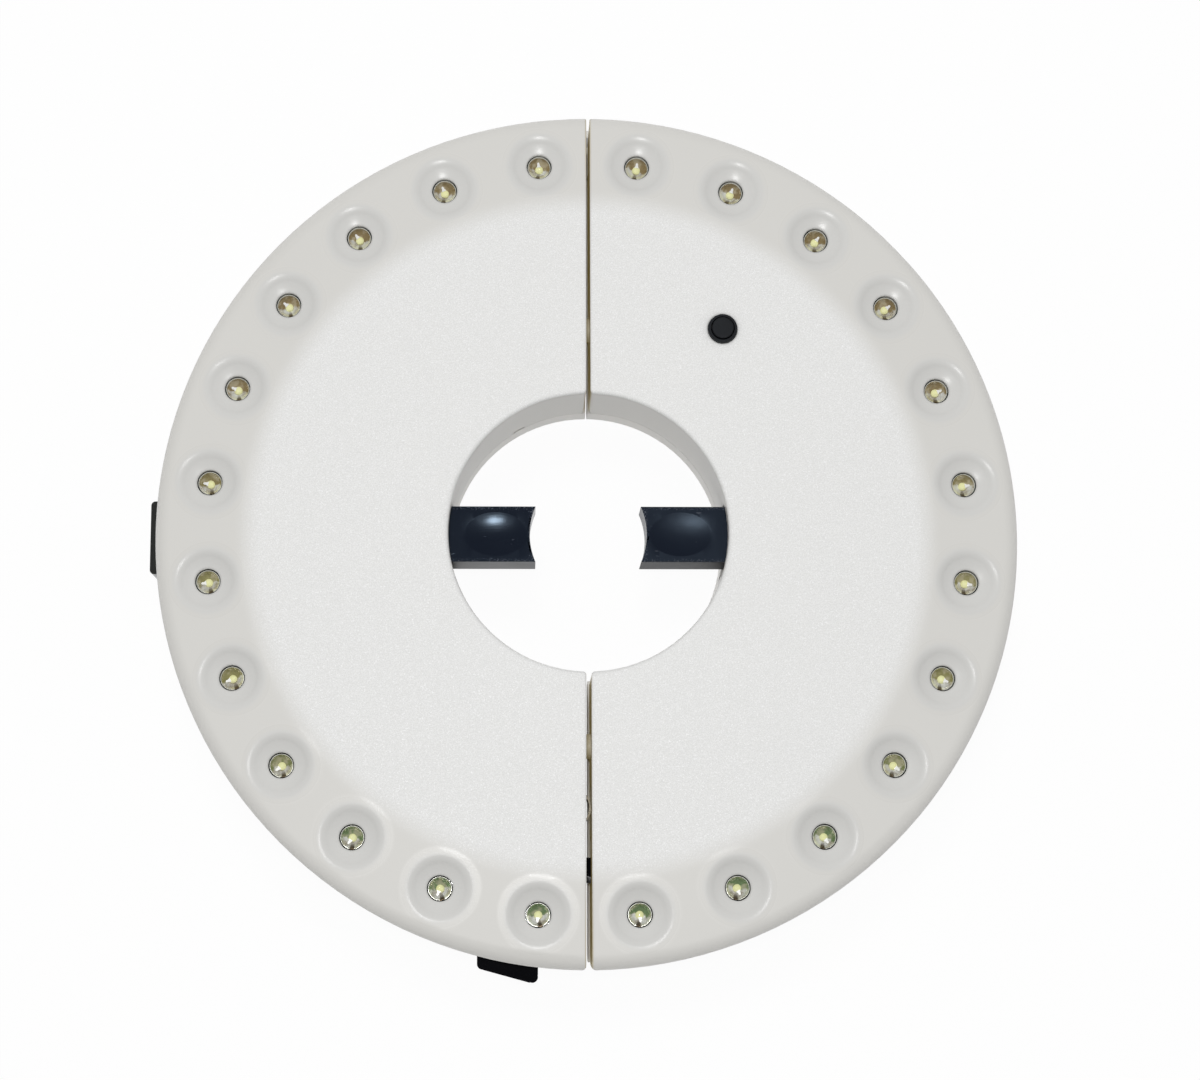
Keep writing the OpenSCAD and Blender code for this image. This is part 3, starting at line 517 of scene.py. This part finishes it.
class Recipe(Plan):
    """A geometry tree with named inputs. make() runs it on a mesh and gives back a plain mesh."""

    def __init__(self, name, inputs):
        super().__init__(bpy.data.node_groups.new(name, "GeometryNodeTree"))
        self.keys = {}
        self.tree.interface.new_socket("Geometry", in_out="INPUT", socket_type="NodeSocketGeometry")
        for title, kind in inputs.items():
            item = self.tree.interface.new_socket(title, in_out="INPUT", socket_type="NodeSocket" + kind)
            self.keys[title] = item.identifier
        self.tree.interface.new_socket("Geometry", in_out="OUTPUT", socket_type="NodeSocketGeometry")
        self.given = self.add("NodeGroupInput")

    def end(self, geometry):
        """Real geometry with its material, which is what the export needs."""
        solid = self.add("GeometryNodeRealizeInstances", None, {"Geometry": geometry})["Geometry"]
        dressed = self.add("GeometryNodeSetMaterial", None,
                           {"Geometry": solid, "Material": self.given["Material"]})["Geometry"]
        self.add("NodeGroupOutput", None, {"Geometry": dressed})

    def make(self, name, mesh, **values):
        holder = bpy.data.objects.new(name + "_maker", mesh)
        bpy.context.scene.collection.objects.link(holder)
        maker = holder.modifiers.new(name, "NODES")
        maker.node_group = self.tree
        for title, value in values.items():
            maker[self.keys[title.replace("_", " ")]] = value
        made = applied(holder)
        made.name = name
        return smooth(made)


def ring_tree():
    """Copies a piece to the places of the lights in one half."""
    tree = Recipe("ring_of_pieces", {"Count": "Int", "Radius": "Float", "First": "Float",
                                     "Pitch": "Float", "Turned": "Float", "Material": "Material"})
    angle = tree.given["First"] + tree.given["Pitch"] * tree.add("GeometryNodeInputIndex")["Index"]
    spot = tree.add("ShaderNodeCombineXYZ", None, {
        "X": tree.maths("COSINE", angle) * tree.given["Radius"],
        "Y": tree.maths("SINE", angle) * tree.given["Radius"]})
    points = tree.add("GeometryNodePoints", None, {
        "Count": tree.given["Count"], "Position": spot["Vector"]})
    turn = tree.add("ShaderNodeCombineXYZ", None, {"Z": angle * tree.given["Turned"]})
    copies = tree.add("GeometryNodeInstanceOnPoints", None, {
        "Points": points["Points"], "Instance": tree.given["Geometry"], "Rotation": turn["Vector"]})
    tree.end(copies["Instances"])
    return tree


def places_tree():
    """Copies a piece to each vertex of another object."""
    tree = Recipe("piece_at_places", {"Places": "Object", "Material": "Material"})
    places = tree.add("GeometryNodeObjectInfo", None, {"Object": tree.given["Places"]})
    copies = tree.add("GeometryNodeInstanceOnPoints", None, {
        "Points": places["Geometry"], "Instance": tree.given["Geometry"]})
    tree.end(copies["Instances"])
    return tree


WIRE_SIDES, RINGS_PER_TURN = 8, 28


def coil_tree():
    """A wound spring that stands on Z = 0 and rises along Z."""
    tree = Recipe("wound_spring", {"Turns": "Float", "Height": "Float", "Base radius": "Float",
                                   "Tip radius": "Float", "Wire radius": "Float", "Rings": "Int",
                                   "Material": "Material"})
    coil = tree.add("GeometryNodeCurveSpiral", None, {
        "Resolution": tree.given["Rings"], "Rotations": tree.given["Turns"],
        "Start Radius": tree.given["Base radius"], "End Radius": tree.given["Tip radius"],
        "Height": tree.given["Height"]})
    wire = tree.add("GeometryNodeCurvePrimitiveCircle", None, {
        "Resolution": WIRE_SIDES, "Radius": tree.given["Wire radius"]})
    tube = tree.add("GeometryNodeCurveToMesh", None, {
        "Curve": coil["Curve"], "Profile Curve": wire["Curve"], "Fill Caps": True})
    tree.end(tube["Mesh"])
    return tree


ring_of_pieces = ring_tree()
piece_at_places = places_tree()
wound_spring = coil_tree()


# ------------------------------------------------------------------ lights

LIGHTS = {"right": (-82.5, range(1, 13)), "left": (97.5, range(13, 25))}
BOARD_TOP = 21.3
LENS_R = 2.8
LENS_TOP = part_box("led_1")[1].z / MM
LENS_RIM = LENS_TOP - LENS_R              # height at which the lens starts to curve in
CHIP_FOOT = LENS_RIM - 1.3
LEAD_SPREAD, LEAD_R, LEAD_LENGTH, LEAD_MIDDLE = 1.27, 0.25, 3.4, 20.85


def lens_profile():
    """Domed lens on its flange."""
    dome = arc(0.0, LENS_RIM, LENS_R, 0.0, 90.0, 14)
    return [(0.0, BOARD_TOP), (3.4, BOARD_TOP), (3.4, BOARD_TOP + 0.9), (3.3, BOARD_TOP + 1.0),
            (LENS_R, BOARD_TOP + 1.0)] + dome


def cup_profile():
    """Reflector as the lens shows it: a flared dish round the chip that fills the lens."""
    outline = [(0.0, -3.0), (2.2, -3.0), (2.60, -0.3), (2.78, 0.0), (2.66, 0.75), (2.58, 0.75),
               (2.50, -0.05), (2.1, -0.55), (1.5, -0.95), (0.85, -1.2), (0.0, -1.2)]
    return [(radius, LENS_RIM + rise) for radius, rise in outline]


def chip_profile():
    outline = [(0.0, 0.0), (0.92, 0.0), (0.92, 0.40), (0.72, 0.58), (0.38, 0.68), (0.0, 0.70)]
    return [(radius, CHIP_FOOT + rise) for radius, rise in outline]


def post_mesh():
    """Lead post beside the chip: it narrows outwards and ends in a small round head."""
    top, keep_x, keep_y = LENS_RIM - 0.45, 0.97, 0.85
    outline = [(0.55, -0.62), (1.15, -0.30), (1.45, -0.34), (1.72, -0.20), (1.80, 0.0), (1.72, 0.20),
               (1.45, 0.34), (1.15, 0.30), (0.55, 0.62)]
    shape = bmesh.new()
    low = [shape.verts.new(Vector((x, y, CHIP_FOOT)) * MM) for x, y in outline]
    high = [shape.verts.new(Vector((x * keep_x, y * keep_y, top)) * MM) for x, y in outline]
    shape.faces.new(low)
    shape.faces.new(high)
    for i in range(len(outline)):
        j = (i + 1) % len(outline)
        shape.faces.new((low[i], low[j], high[j], high[i]))
    bmesh.ops.recalc_face_normals(shape, faces=shape.faces)
    mesh = bpy.data.meshes.new("lead_post")
    shape.to_mesh(mesh)
    shape.free()
    return mesh


def lead_mesh():
    """Two straight leads that go through the board."""
    shape = bmesh.new()
    for side in (-LEAD_SPREAD, LEAD_SPREAD):
        made = bmesh.ops.create_cone(shape, cap_ends=True, segments=12, radius1=LEAD_R * MM,
                                     radius2=LEAD_R * MM, depth=LEAD_LENGTH * MM)
        bmesh.ops.translate(shape, verts=made["verts"], vec=Vector((0, side, LEAD_MIDDLE)) * MM)
    mesh = bpy.data.meshes.new("lead_pair")
    shape.to_mesh(mesh)
    shape.free()
    return mesh


def make_lights():
    """Both rings of lights, one piece for each part of a light and each half."""
    parts = {"lens": (lambda: turned("lens", lens_profile()), resin, "clear_lens"),
             "cup": (lambda: turned("cup", cup_profile(), 40), silvered, "steel"),
             "chip": (lambda: turned("chip", chip_profile(), 24), phosphor, "clear_lens"),
             "post": (post_mesh, tinned, "steel"),
             "leads": (lead_mesh, steel, "steel")}
    for side, (first, numbers) in LIGHTS.items():
        for part, (shape, material, slot) in parts.items():
            mesh = ring_of_pieces.make(f"light_{part}_{side}", shape(), Count=12, Radius=LIGHT_RING * MM,
                                       First=math.radians(first), Pitch=LIGHT_PITCH,
                                       Turned=0.0 if part == "cup" else 1.0, Material=material)
            stood_for = [f"led_{n}" for n in numbers] if part == "lens" else []
            piece_from(f"light_{part}_{side}", mesh, material, side + "_half", stood_for)


make_lights()


# ------------------------------------------------------------------ switch

def make_switch():
    """Rubber collar with a raised rim, and the cap that is pressed inside it."""
    low, high = (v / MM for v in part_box("switch_boot"))
    centre = (low + high) / 2
    cap_low, cap_high = (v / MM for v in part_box("switch_button"))
    cap_r = (cap_high.x - cap_low.x) / 2
    wide, narrow, top = (high.x - low.x) / 2, 3.4, high.z
    inner = cap_r + 0.25
    collar = ([(inner, low.z), (wide, low.z), (wide, low.z + 1.5), (narrow, low.z + 1.5)]
              + arc(narrow - 0.35, top - 0.35, 0.35, 0.0, 90.0, 5)
              + arc(inner + 0.1, top - 0.1, 0.1, 90.0, 180.0, 3) + [(inner, low.z)])
    cap = ([(0.0, cap_low.z), (cap_r, cap_low.z)] + arc(cap_r - 0.28, cap_high.z - 0.28, 0.28, 0.0, 90.0, 6)
           + [(cap_r * 0.6, cap_high.z - 0.05), (0.0, cap_high.z - 0.08)])
    shift = Matrix.Translation(Vector((centre.x, centre.y, 0)) * MM)
    for name, profile, body, node, slot in (
            ("switch_collar", collar, "right_half", "switch_boot", "boot_rubber"),
            ("switch_cap_top", cap, "switch_cap", "switch_button", "boot_rubber")):
        mesh = turned(name, profile, 56)
        mesh.transform(shift)
        piece_from(name, mesh, rubber, body, [node])


make_switch()


# ------------------------------------------------------------------ jaws and latch

JAW_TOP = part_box("jaw_right")[1].z / MM
JAW_TOP_FROM = JAW_TOP - 2                # what lies above this is the jaw's top
JAW_TOP_REACH = 47                        # the top ends within this distance from the pole's axis
JAW_DISH = {"middle": 21.5, "reach": 7.3, "half_width": 5.16, "depth": 0.555}
CUTS_ALONG, CUTS_ACROSS = 12, 8           # from the dish's middle to its edge
END_WIDTH = 0.2                           # share of the dish's width that its rows keep at its ends


def dished_jaw(node):
    """A jaw whose flat top is sunk in an oval dish. Its rows of vertices close in with the oval."""
    shape = merged(node)
    middle, reach, half_width = JAW_DISH["middle"], JAW_DISH["reach"], JAW_DISH["half_width"]
    cuts = [(Vector((sign * (middle + k * reach / CUTS_ALONG), 0, 0)), Vector((1, 0, 0)))
            for sign in (-1, 1) for k in range(-CUTS_ALONG, CUTS_ALONG + 1)]
    cuts += [(Vector((0, half_width * k / CUTS_ACROSS, 0)), Vector((0, 1, 0)))
             for k in range(-CUTS_ACROSS, CUTS_ACROSS + 1)]
    for place, normal in cuts:
        top = [f for f in shape.faces
               if all(v.co.z > JAW_TOP_FROM * MM and abs(v.co.x) < JAW_TOP_REACH * MM for v in f.verts)]
        edges = {e for f in top for e in f.edges}
        verts = {v for f in top for v in f.verts}
        bmesh.ops.bisect_plane(shape, geom=top + list(edges) + list(verts), dist=1e-7,
                               plane_co=place * MM, plane_no=normal)
    for vert in shape.verts:
        x, y, z = (v / MM for v in vert.co)
        if z > JAW_TOP_FROM:
            across = max(0.0, 1 - (y / half_width) ** 2)
            along = 1 - ((abs(x) - middle) / reach) ** 2
            if along > -1e-4 and abs(y) < half_width + 0.01:
                vert.co.y = y * max(END_WIDTH, max(0.0, along) ** 0.5) * MM
            vert.co.z = (JAW_TOP - JAW_DISH["depth"] * across * max(0.0, along)) * MM
    return softened(node + "_soft", shape, 0.3, crisp=5.0)


for side in ("left", "right"):
    piece_from(f"jaw_moulding_{side}", dished_jaw("jaw_" + side), jaw_black, f"jaw_{side}_slide",
               ["jaw_" + side])
piece_from("latch_moulding", softened("latch_soft", merged("latch_lever"), 0.6, 4), latch_black, "latch",
           ["latch_lever"])


# ------------------------------------------------------------------ springs

def coil_mesh(name, length, base_r, tip_r, wire_r, turns, material):
    """A closed coil of this length, in millimetres, between z = 0 and z = length."""
    mesh = wound_spring.make(name, bpy.data.meshes.new(name), Turns=turns,
                             Height=(length - 2 * wire_r) * MM,
                             Base_radius=(base_r - wire_r) * MM, Tip_radius=(tip_r - wire_r) * MM,
                             Wire_radius=wire_r * MM, Rings=RINGS_PER_TURN, Material=material)
    mesh.transform(Matrix.Translation((0, 0, wire_r * MM)))
    return mesh


SPRING_WIRE_R = 0.3


def make_springs():
    """Each spring winds inside its node's box."""
    springs = (("jaw_spring_left", "left_half", "X", -1, "jaw_left_retract", 10, 9.5),
               ("jaw_spring_right", "right_half", "X", 1, "jaw_right_retract", 10, 9.5),
               ("latch_spring", "left_half", "Y", 1, "latch_press", 1.9, 4.5))
    for node, body, axis, fixed_side, joint, travel, turns in springs:
        low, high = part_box(node)
        k = "XYZ".index(axis)
        length, radius = (high[k] - low[k]) / MM, (high.z - low.z) / 2 / MM
        mesh = coil_mesh(node, length, radius, radius, SPRING_WIRE_R, turns, steel)
        start = (low + high) / 2
        start[k] = low[k]
        along = Vector((0, 0, 1)).rotation_difference(Vector([float(i == k) for i in range(3)]))
        mesh.transform(Matrix.Translation(start) @ along.to_matrix().to_4x4())
        piece = piece_from(node + "_coil", mesh, steel, body, [node])
        anchor = start.copy()
        anchor[k] = high[k] if fixed_side > 0 else low[k]
        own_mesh(piece)


make_springs()


# ------------------------------------------------------------------ screws

SCREW_PLACES = {"left": [(-12, 75.5), (-75, 14.5), (-75, -14.5), (-38, -62), (-10, -41)],
                "right": [(12, 75.5), (75, 14.5), (75, -14.5), (13.5, -75), (10, 41)]}


SCREW_HEAD_R, SCREW_SHANK_R, SCREW_PITCH = 2.8, 1.35, 1.1
RECESS_DEPTH, RECESS_SLOT = 1.1, 0.55
RECESS_MOUTH, RECESS_FLOOR = 1.55, 0.9      # reach of the cross from the screw's axis


def screw_mesh():
    """Self-tapping screw, head down, with a cross recess."""
    low, high = (v.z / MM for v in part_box("shell_screws_left"))
    head_r, shank_r, seat, pitch = SCREW_HEAD_R, SCREW_SHANK_R, low + 1.8, SCREW_PITCH
    threads = []
    for k in range(int((high - 2.2 - seat - 1.0) / pitch)):
        z = seat + 1.0 + k * pitch
        threads += [(shank_r - 0.25, z), (shank_r, z + 0.35), (shank_r, z + 0.45),
                    (shank_r - 0.25, z + 0.8)]
    profile = ([(0.0, low)] + arc(head_r - 0.7, low + 0.7, 0.7, -90.0, 0.0, 5)
               + [(head_r, seat), (shank_r - 0.2, seat)] + threads
               + [(shank_r - 0.25, high - 1.6), (0.0, high)])
    head = bpy.data.objects.new("screw_maker", turned("screw", profile, 28))
    shape = bmesh.new()
    for turn in (0.0, math.pi / 2):
        bar = bmesh.ops.create_cube(shape, size=1.0)["verts"]
        for vert in bar:
            reach, rise = (RECESS_MOUTH, -0.5) if vert.co.z < 0 else (RECESS_FLOOR, RECESS_DEPTH)
            vert.co = Vector((vert.co.x * 2 * reach, vert.co.y * RECESS_SLOT, low + rise)) * MM
        bmesh.ops.rotate(shape, verts=bar, cent=(0, 0, 0), matrix=Matrix.Rotation(turn, 3, "Z"))
    cross = bpy.data.meshes.new("cross")
    shape.to_mesh(cross)
    shape.free()
    cutter = bpy.data.objects.new("cross", cross)
    for thing in (head, cutter):
        bpy.context.scene.collection.objects.link(thing)
    recess = head.modifiers.new("recess", "BOOLEAN")
    recess.operation, recess.object, recess.use_self = "DIFFERENCE", cutter, True
    mesh = applied(head)
    bpy.data.objects.remove(cutter)
    return mesh


def make_screws():
    """The screws that hold each half's shells together, copied to their bosses."""
    screw = screw_mesh()
    for side, spots in SCREW_PLACES.items():
        points = bpy.data.meshes.new("screw_places_" + side)
        points.from_pydata([(x * MM, y * MM, 0.0) for x, y in spots], [], [])
        holder = bpy.data.objects.new("screw_places_" + side, points)
        bpy.context.scene.collection.objects.link(holder)
        mesh = piece_at_places.make("screws_" + side, screw.copy(), Places=holder, Material=zinc)
        bpy.data.objects.remove(holder)
        piece_from("screws_" + side, mesh, zinc, side + "_half", ["shell_screws_" + side])


make_screws()


# ------------------------------------------------------------------ battery contacts

CELL_PITCH, BAY_END, CELL_Z = 15.0, 29.2, 10.2
BAY_CENTRE, BAY_TURN = Vector((-39.8, 42.9, 0)), math.radians(45.0)
CONTACT_GAP, CONTACT_T, CONTACT_TALL, CONTACT_WIDE = 0.05, 0.4, 10.0, 11.0
CONTACT_COIL, CONTACT_CORNER = 6.5, 1.2


def in_bay(side):
    """Place of a battery bay: its length lies along X and the back of the light is down."""
    half_turn = 0.0 if side == "left" else math.pi
    return (Matrix.Rotation(half_turn, 4, "Z") @ Matrix.Translation(BAY_CENTRE * MM)
            @ Matrix.Rotation(BAY_TURN, 4, "Z"))


def plate_mesh(y, width):
    """Contact plate with round corners that stands against the wall at x = 0."""
    half_y, half_z = width / 2 - CONTACT_CORNER, CONTACT_TALL / 2 - CONTACT_CORNER
    outline = []
    for ky, kz, start in ((1, 1, 0), (-1, 1, 90), (-1, -1, 180), (1, -1, 270)):
        angles = [math.radians(start + 22.5 * i) for i in range(5)]
        outline += [(y + ky * half_y + CONTACT_CORNER * math.cos(a),
                     CELL_Z + kz * half_z + CONTACT_CORNER * math.sin(a)) for a in angles]
    shape = bmesh.new()
    rings = [[shape.verts.new(Vector((x, py, pz)) * MM) for py, pz in outline]
             for x in (CONTACT_GAP, CONTACT_GAP + CONTACT_T)]
    for ring in rings:
        shape.faces.new(ring)
    for i in range(len(outline)):
        j = (i + 1) % len(outline)
        shape.faces.new((rings[0][i], rings[0][j], rings[1][j], rings[1][i]))
    bmesh.ops.recalc_face_normals(shape, faces=shape.faces)
    mesh = bpy.data.meshes.new("plate")
    shape.to_mesh(mesh)
    shape.free()
    return mesh


def on_contact(mesh, y):
    """Turns a mesh that rises along Z to stand out from the plate at y."""
    mesh.transform(Matrix.Translation(Vector((CONTACT_GAP, y, CELL_Z)) * MM)
                   @ Matrix.Rotation(math.pi / 2, 4, "Y"))
    return mesh


def make_contacts():
    """Plates, coils and bumps at the ends of the bays, one piece for each contact."""
    near, far = -CELL_PITCH / 2, CELL_PITCH / 2
    bump = [(0.0, 0.1), (2.4, 0.1), (2.4, CONTACT_T), (1.9, 0.8), (1.2, 1.0), (0.0, 1.0)]
    contacts = {"cell_spring": (0.0, near, CONTACT_WIDE, [near], []),
                "cell_plate": (0.0, far, CONTACT_WIDE, [], [far]),
                "cell_bridge": (math.pi, 0.0, CELL_PITCH + CONTACT_WIDE, [near], [far])}
    for side in ("left", "right"):
        for node, (turn, y, width, coils, bumps) in contacts.items():
            parts = [plate_mesh(y, width)]
            parts += [on_contact(coil_mesh("coil", CONTACT_COIL, 4.2, 3.0, 0.35, 4.0, nickel), place)
                      for place in coils]
            parts += [on_contact(turned("bump", bump, 28), place) for place in bumps]
            shape = bmesh.new()
            for part in parts:
                shape.from_mesh(part)
            mesh = bpy.data.meshes.new(f"{node}_{side}_contact")
            shape.to_mesh(mesh)
            shape.free()
            mesh.transform(in_bay(side) @ Matrix.Rotation(turn, 4, "Z")
                           @ Matrix.Translation(Vector((-BAY_END, 0, 0)) * MM))
            piece_from(f"{node}_{side}_contact", smooth(mesh), nickel, side + "_half",
                       [f"{node}_{side}"])


make_contacts()


# ------------------------------------------------------------------ CAD nodes that keep their shape

def dress(material, *nodes):
    """Gives CAD nodes a better material in the slots that they have."""
    for node in nodes:
        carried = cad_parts[node]
        for place in carried.material_slots:
            place.material = material


dress(ivory, "front_shell_left", "front_shell_right")
dress(ivory_back, "back_shell_left", "back_shell_right", "battery_door_left", "battery_door_right")
dress(board_green, "led_board_left", "led_board_right", "driver_board")
dress(switch_black, "switch_body")
dress(steel, "hinge_pin", "latch_pin")
dress(dull_brass, "contact_fingers", "contact_plates")


# ------------------------------------------------------------------ cells

CELL_LENGTH, CELL_R = 50.5, 7.1


def make_cells():
    """Four cells: a sleeve turned in at both ends, a nub and a flat foot."""
    length, radius = CELL_LENGTH, CELL_R
    profile = ([(0.0, 0.0), (4.6, 0.0), (5.0, 0.35)] + arc(radius - 0.6, 0.7, 0.6, -90.0, 0.0, 4)
               + arc(radius - 0.6, length - 1.9, 0.6, 0.0, 90.0, 4)
               + [(5.6, length - 1.6), (2.75, length - 1.6)] + arc(2.35, length - 0.4, 0.4, 0.0, 90.0, 4)
               + [(0.0, length)])
    for number in range(1, 5):
        side = "left" if number < 3 else "right"
        lay = (in_bay(side) @ Matrix.Rotation(math.pi if number % 2 == 0 else 0.0, 4, "Z")
               @ Matrix.Translation(Vector((BAY_END - 1.2 - length, -CELL_PITCH / 2, CELL_Z)) * MM)
               @ Matrix.Rotation(math.pi / 2, 4, "Y"))
        mesh = turned(f"cell_can_{number}", profile)
        mesh.transform(lay)
        piece_from(f"cell_can_{number}", mesh, sleeve, side + "_half", [f"cell_{number}"])


make_cells()


# ------------------------------------------------------------------ floor and light

FLOOR_REACH, FLOOR_Z = 6.0, -0.0003       # metres
SKY_LIGHT = 0.46
LAMP_AIM = (0, 0, 0.02)


def make_floor():
    """A pale floor under the object. Seen from below it is clear, so the back can be looked at."""
    mesh = bpy.data.meshes.new("floor")
    corners = [(-FLOOR_REACH, -FLOOR_REACH), (FLOOR_REACH, -FLOOR_REACH),
               (FLOOR_REACH, FLOOR_REACH), (-FLOOR_REACH, FLOOR_REACH)]
    mesh.from_pydata([(x, y, FLOOR_Z) for x, y in corners], [], [(0, 1, 2, 3)])
    floor = bpy.data.objects.new("floor", mesh)
    bpy.context.scene.collection.objects.link(floor)
    material = bpy.data.materials.new("pale_floor")
    material.use_nodes = True
    material.node_tree.nodes.clear()
    plan = Plan(material.node_tree)
    matt = plan.add("ShaderNodeBsdfDiffuse", None, {"Color": colour(0.9, 0.9, 0.9)})["BSDF"]
    white = plan.add("ShaderNodeEmission", None, {"Color": colour(1, 1, 1), "Strength": 1.0})["Emission"]
    rays = plan.add("ShaderNodeLightPath")
    rays_seen = rays["Is Camera Ray"] + rays["Is Glossy Ray"] + rays["Is Transmission Ray"]
    seen = plan.maths("MINIMUM", rays_seen, 1.0)
    top = plan.add("ShaderNodeMixShader", None, {0: seen * 0.95, 1: matt, 2: white})["Shader"]
    below = plan.add("ShaderNodeNewGeometry")["Backfacing"]
    through = plan.maths("MAXIMUM", below, rays["Is Shadow Ray"])
    clear = plan.add("ShaderNodeBsdfTransparent")["BSDF"]
    both = plan.add("ShaderNodeMixShader", None, {0: through, 1: top, 2: clear})["Shader"]
    plan.add("ShaderNodeOutputMaterial", None, {"Surface": both})
    mesh.materials.append(material)


def make_lamp(name, size, power, place):
    """A round lamp aimed at the object: its width in metres, its power in watts and its place."""
    data = bpy.data.lights.new(name, "AREA")
    data.shape, data.size, data.energy = "DISK", size, power
    lamp = bpy.data.objects.new(name, data)
    bpy.context.scene.collection.objects.link(lamp)
    aim = (Vector(LAMP_AIM) - Vector(place)).to_track_quat("-Z", "Y")
    lamp.matrix_world = Matrix.Translation(place) @ aim.to_matrix().to_4x4()
    return lamp


def make_sky():
    """White where the camera sees it, and an even grey light on the object."""
    world = bpy.data.worlds.new("studio")
    bpy.context.scene.world = world
    world.use_nodes = True
    world.node_tree.nodes.clear()
    plan = Plan(world.node_tree)
    rays = plan.add("ShaderNodeLightPath")
    seen = plan.maths("MINIMUM", rays["Is Camera Ray"] + rays["Is Transmission Ray"], 1.0)
    sky = plan.add("ShaderNodeBackground", None, {
        "Color": colour(1, 1, 1), "Strength": SKY_LIGHT + (1.0 - SKY_LIGHT) * seen})
    plan.add("ShaderNodeOutputWorld", None, {"Surface": sky["Background"]})


make_floor()
make_sky()
make_lamp("flash", 0.06, 0.9, (-0.02, -0.06, 0.66))
make_lamp("softbox", 0.40, 5.2, (-0.10, 0.48, 1.25)).visible_glossy = False
make_lamp("under_fill", 1.0, 8.0, (0.0, 0.35, -1.2))
bpy.context.scene.view_settings.view_transform = "Standard"
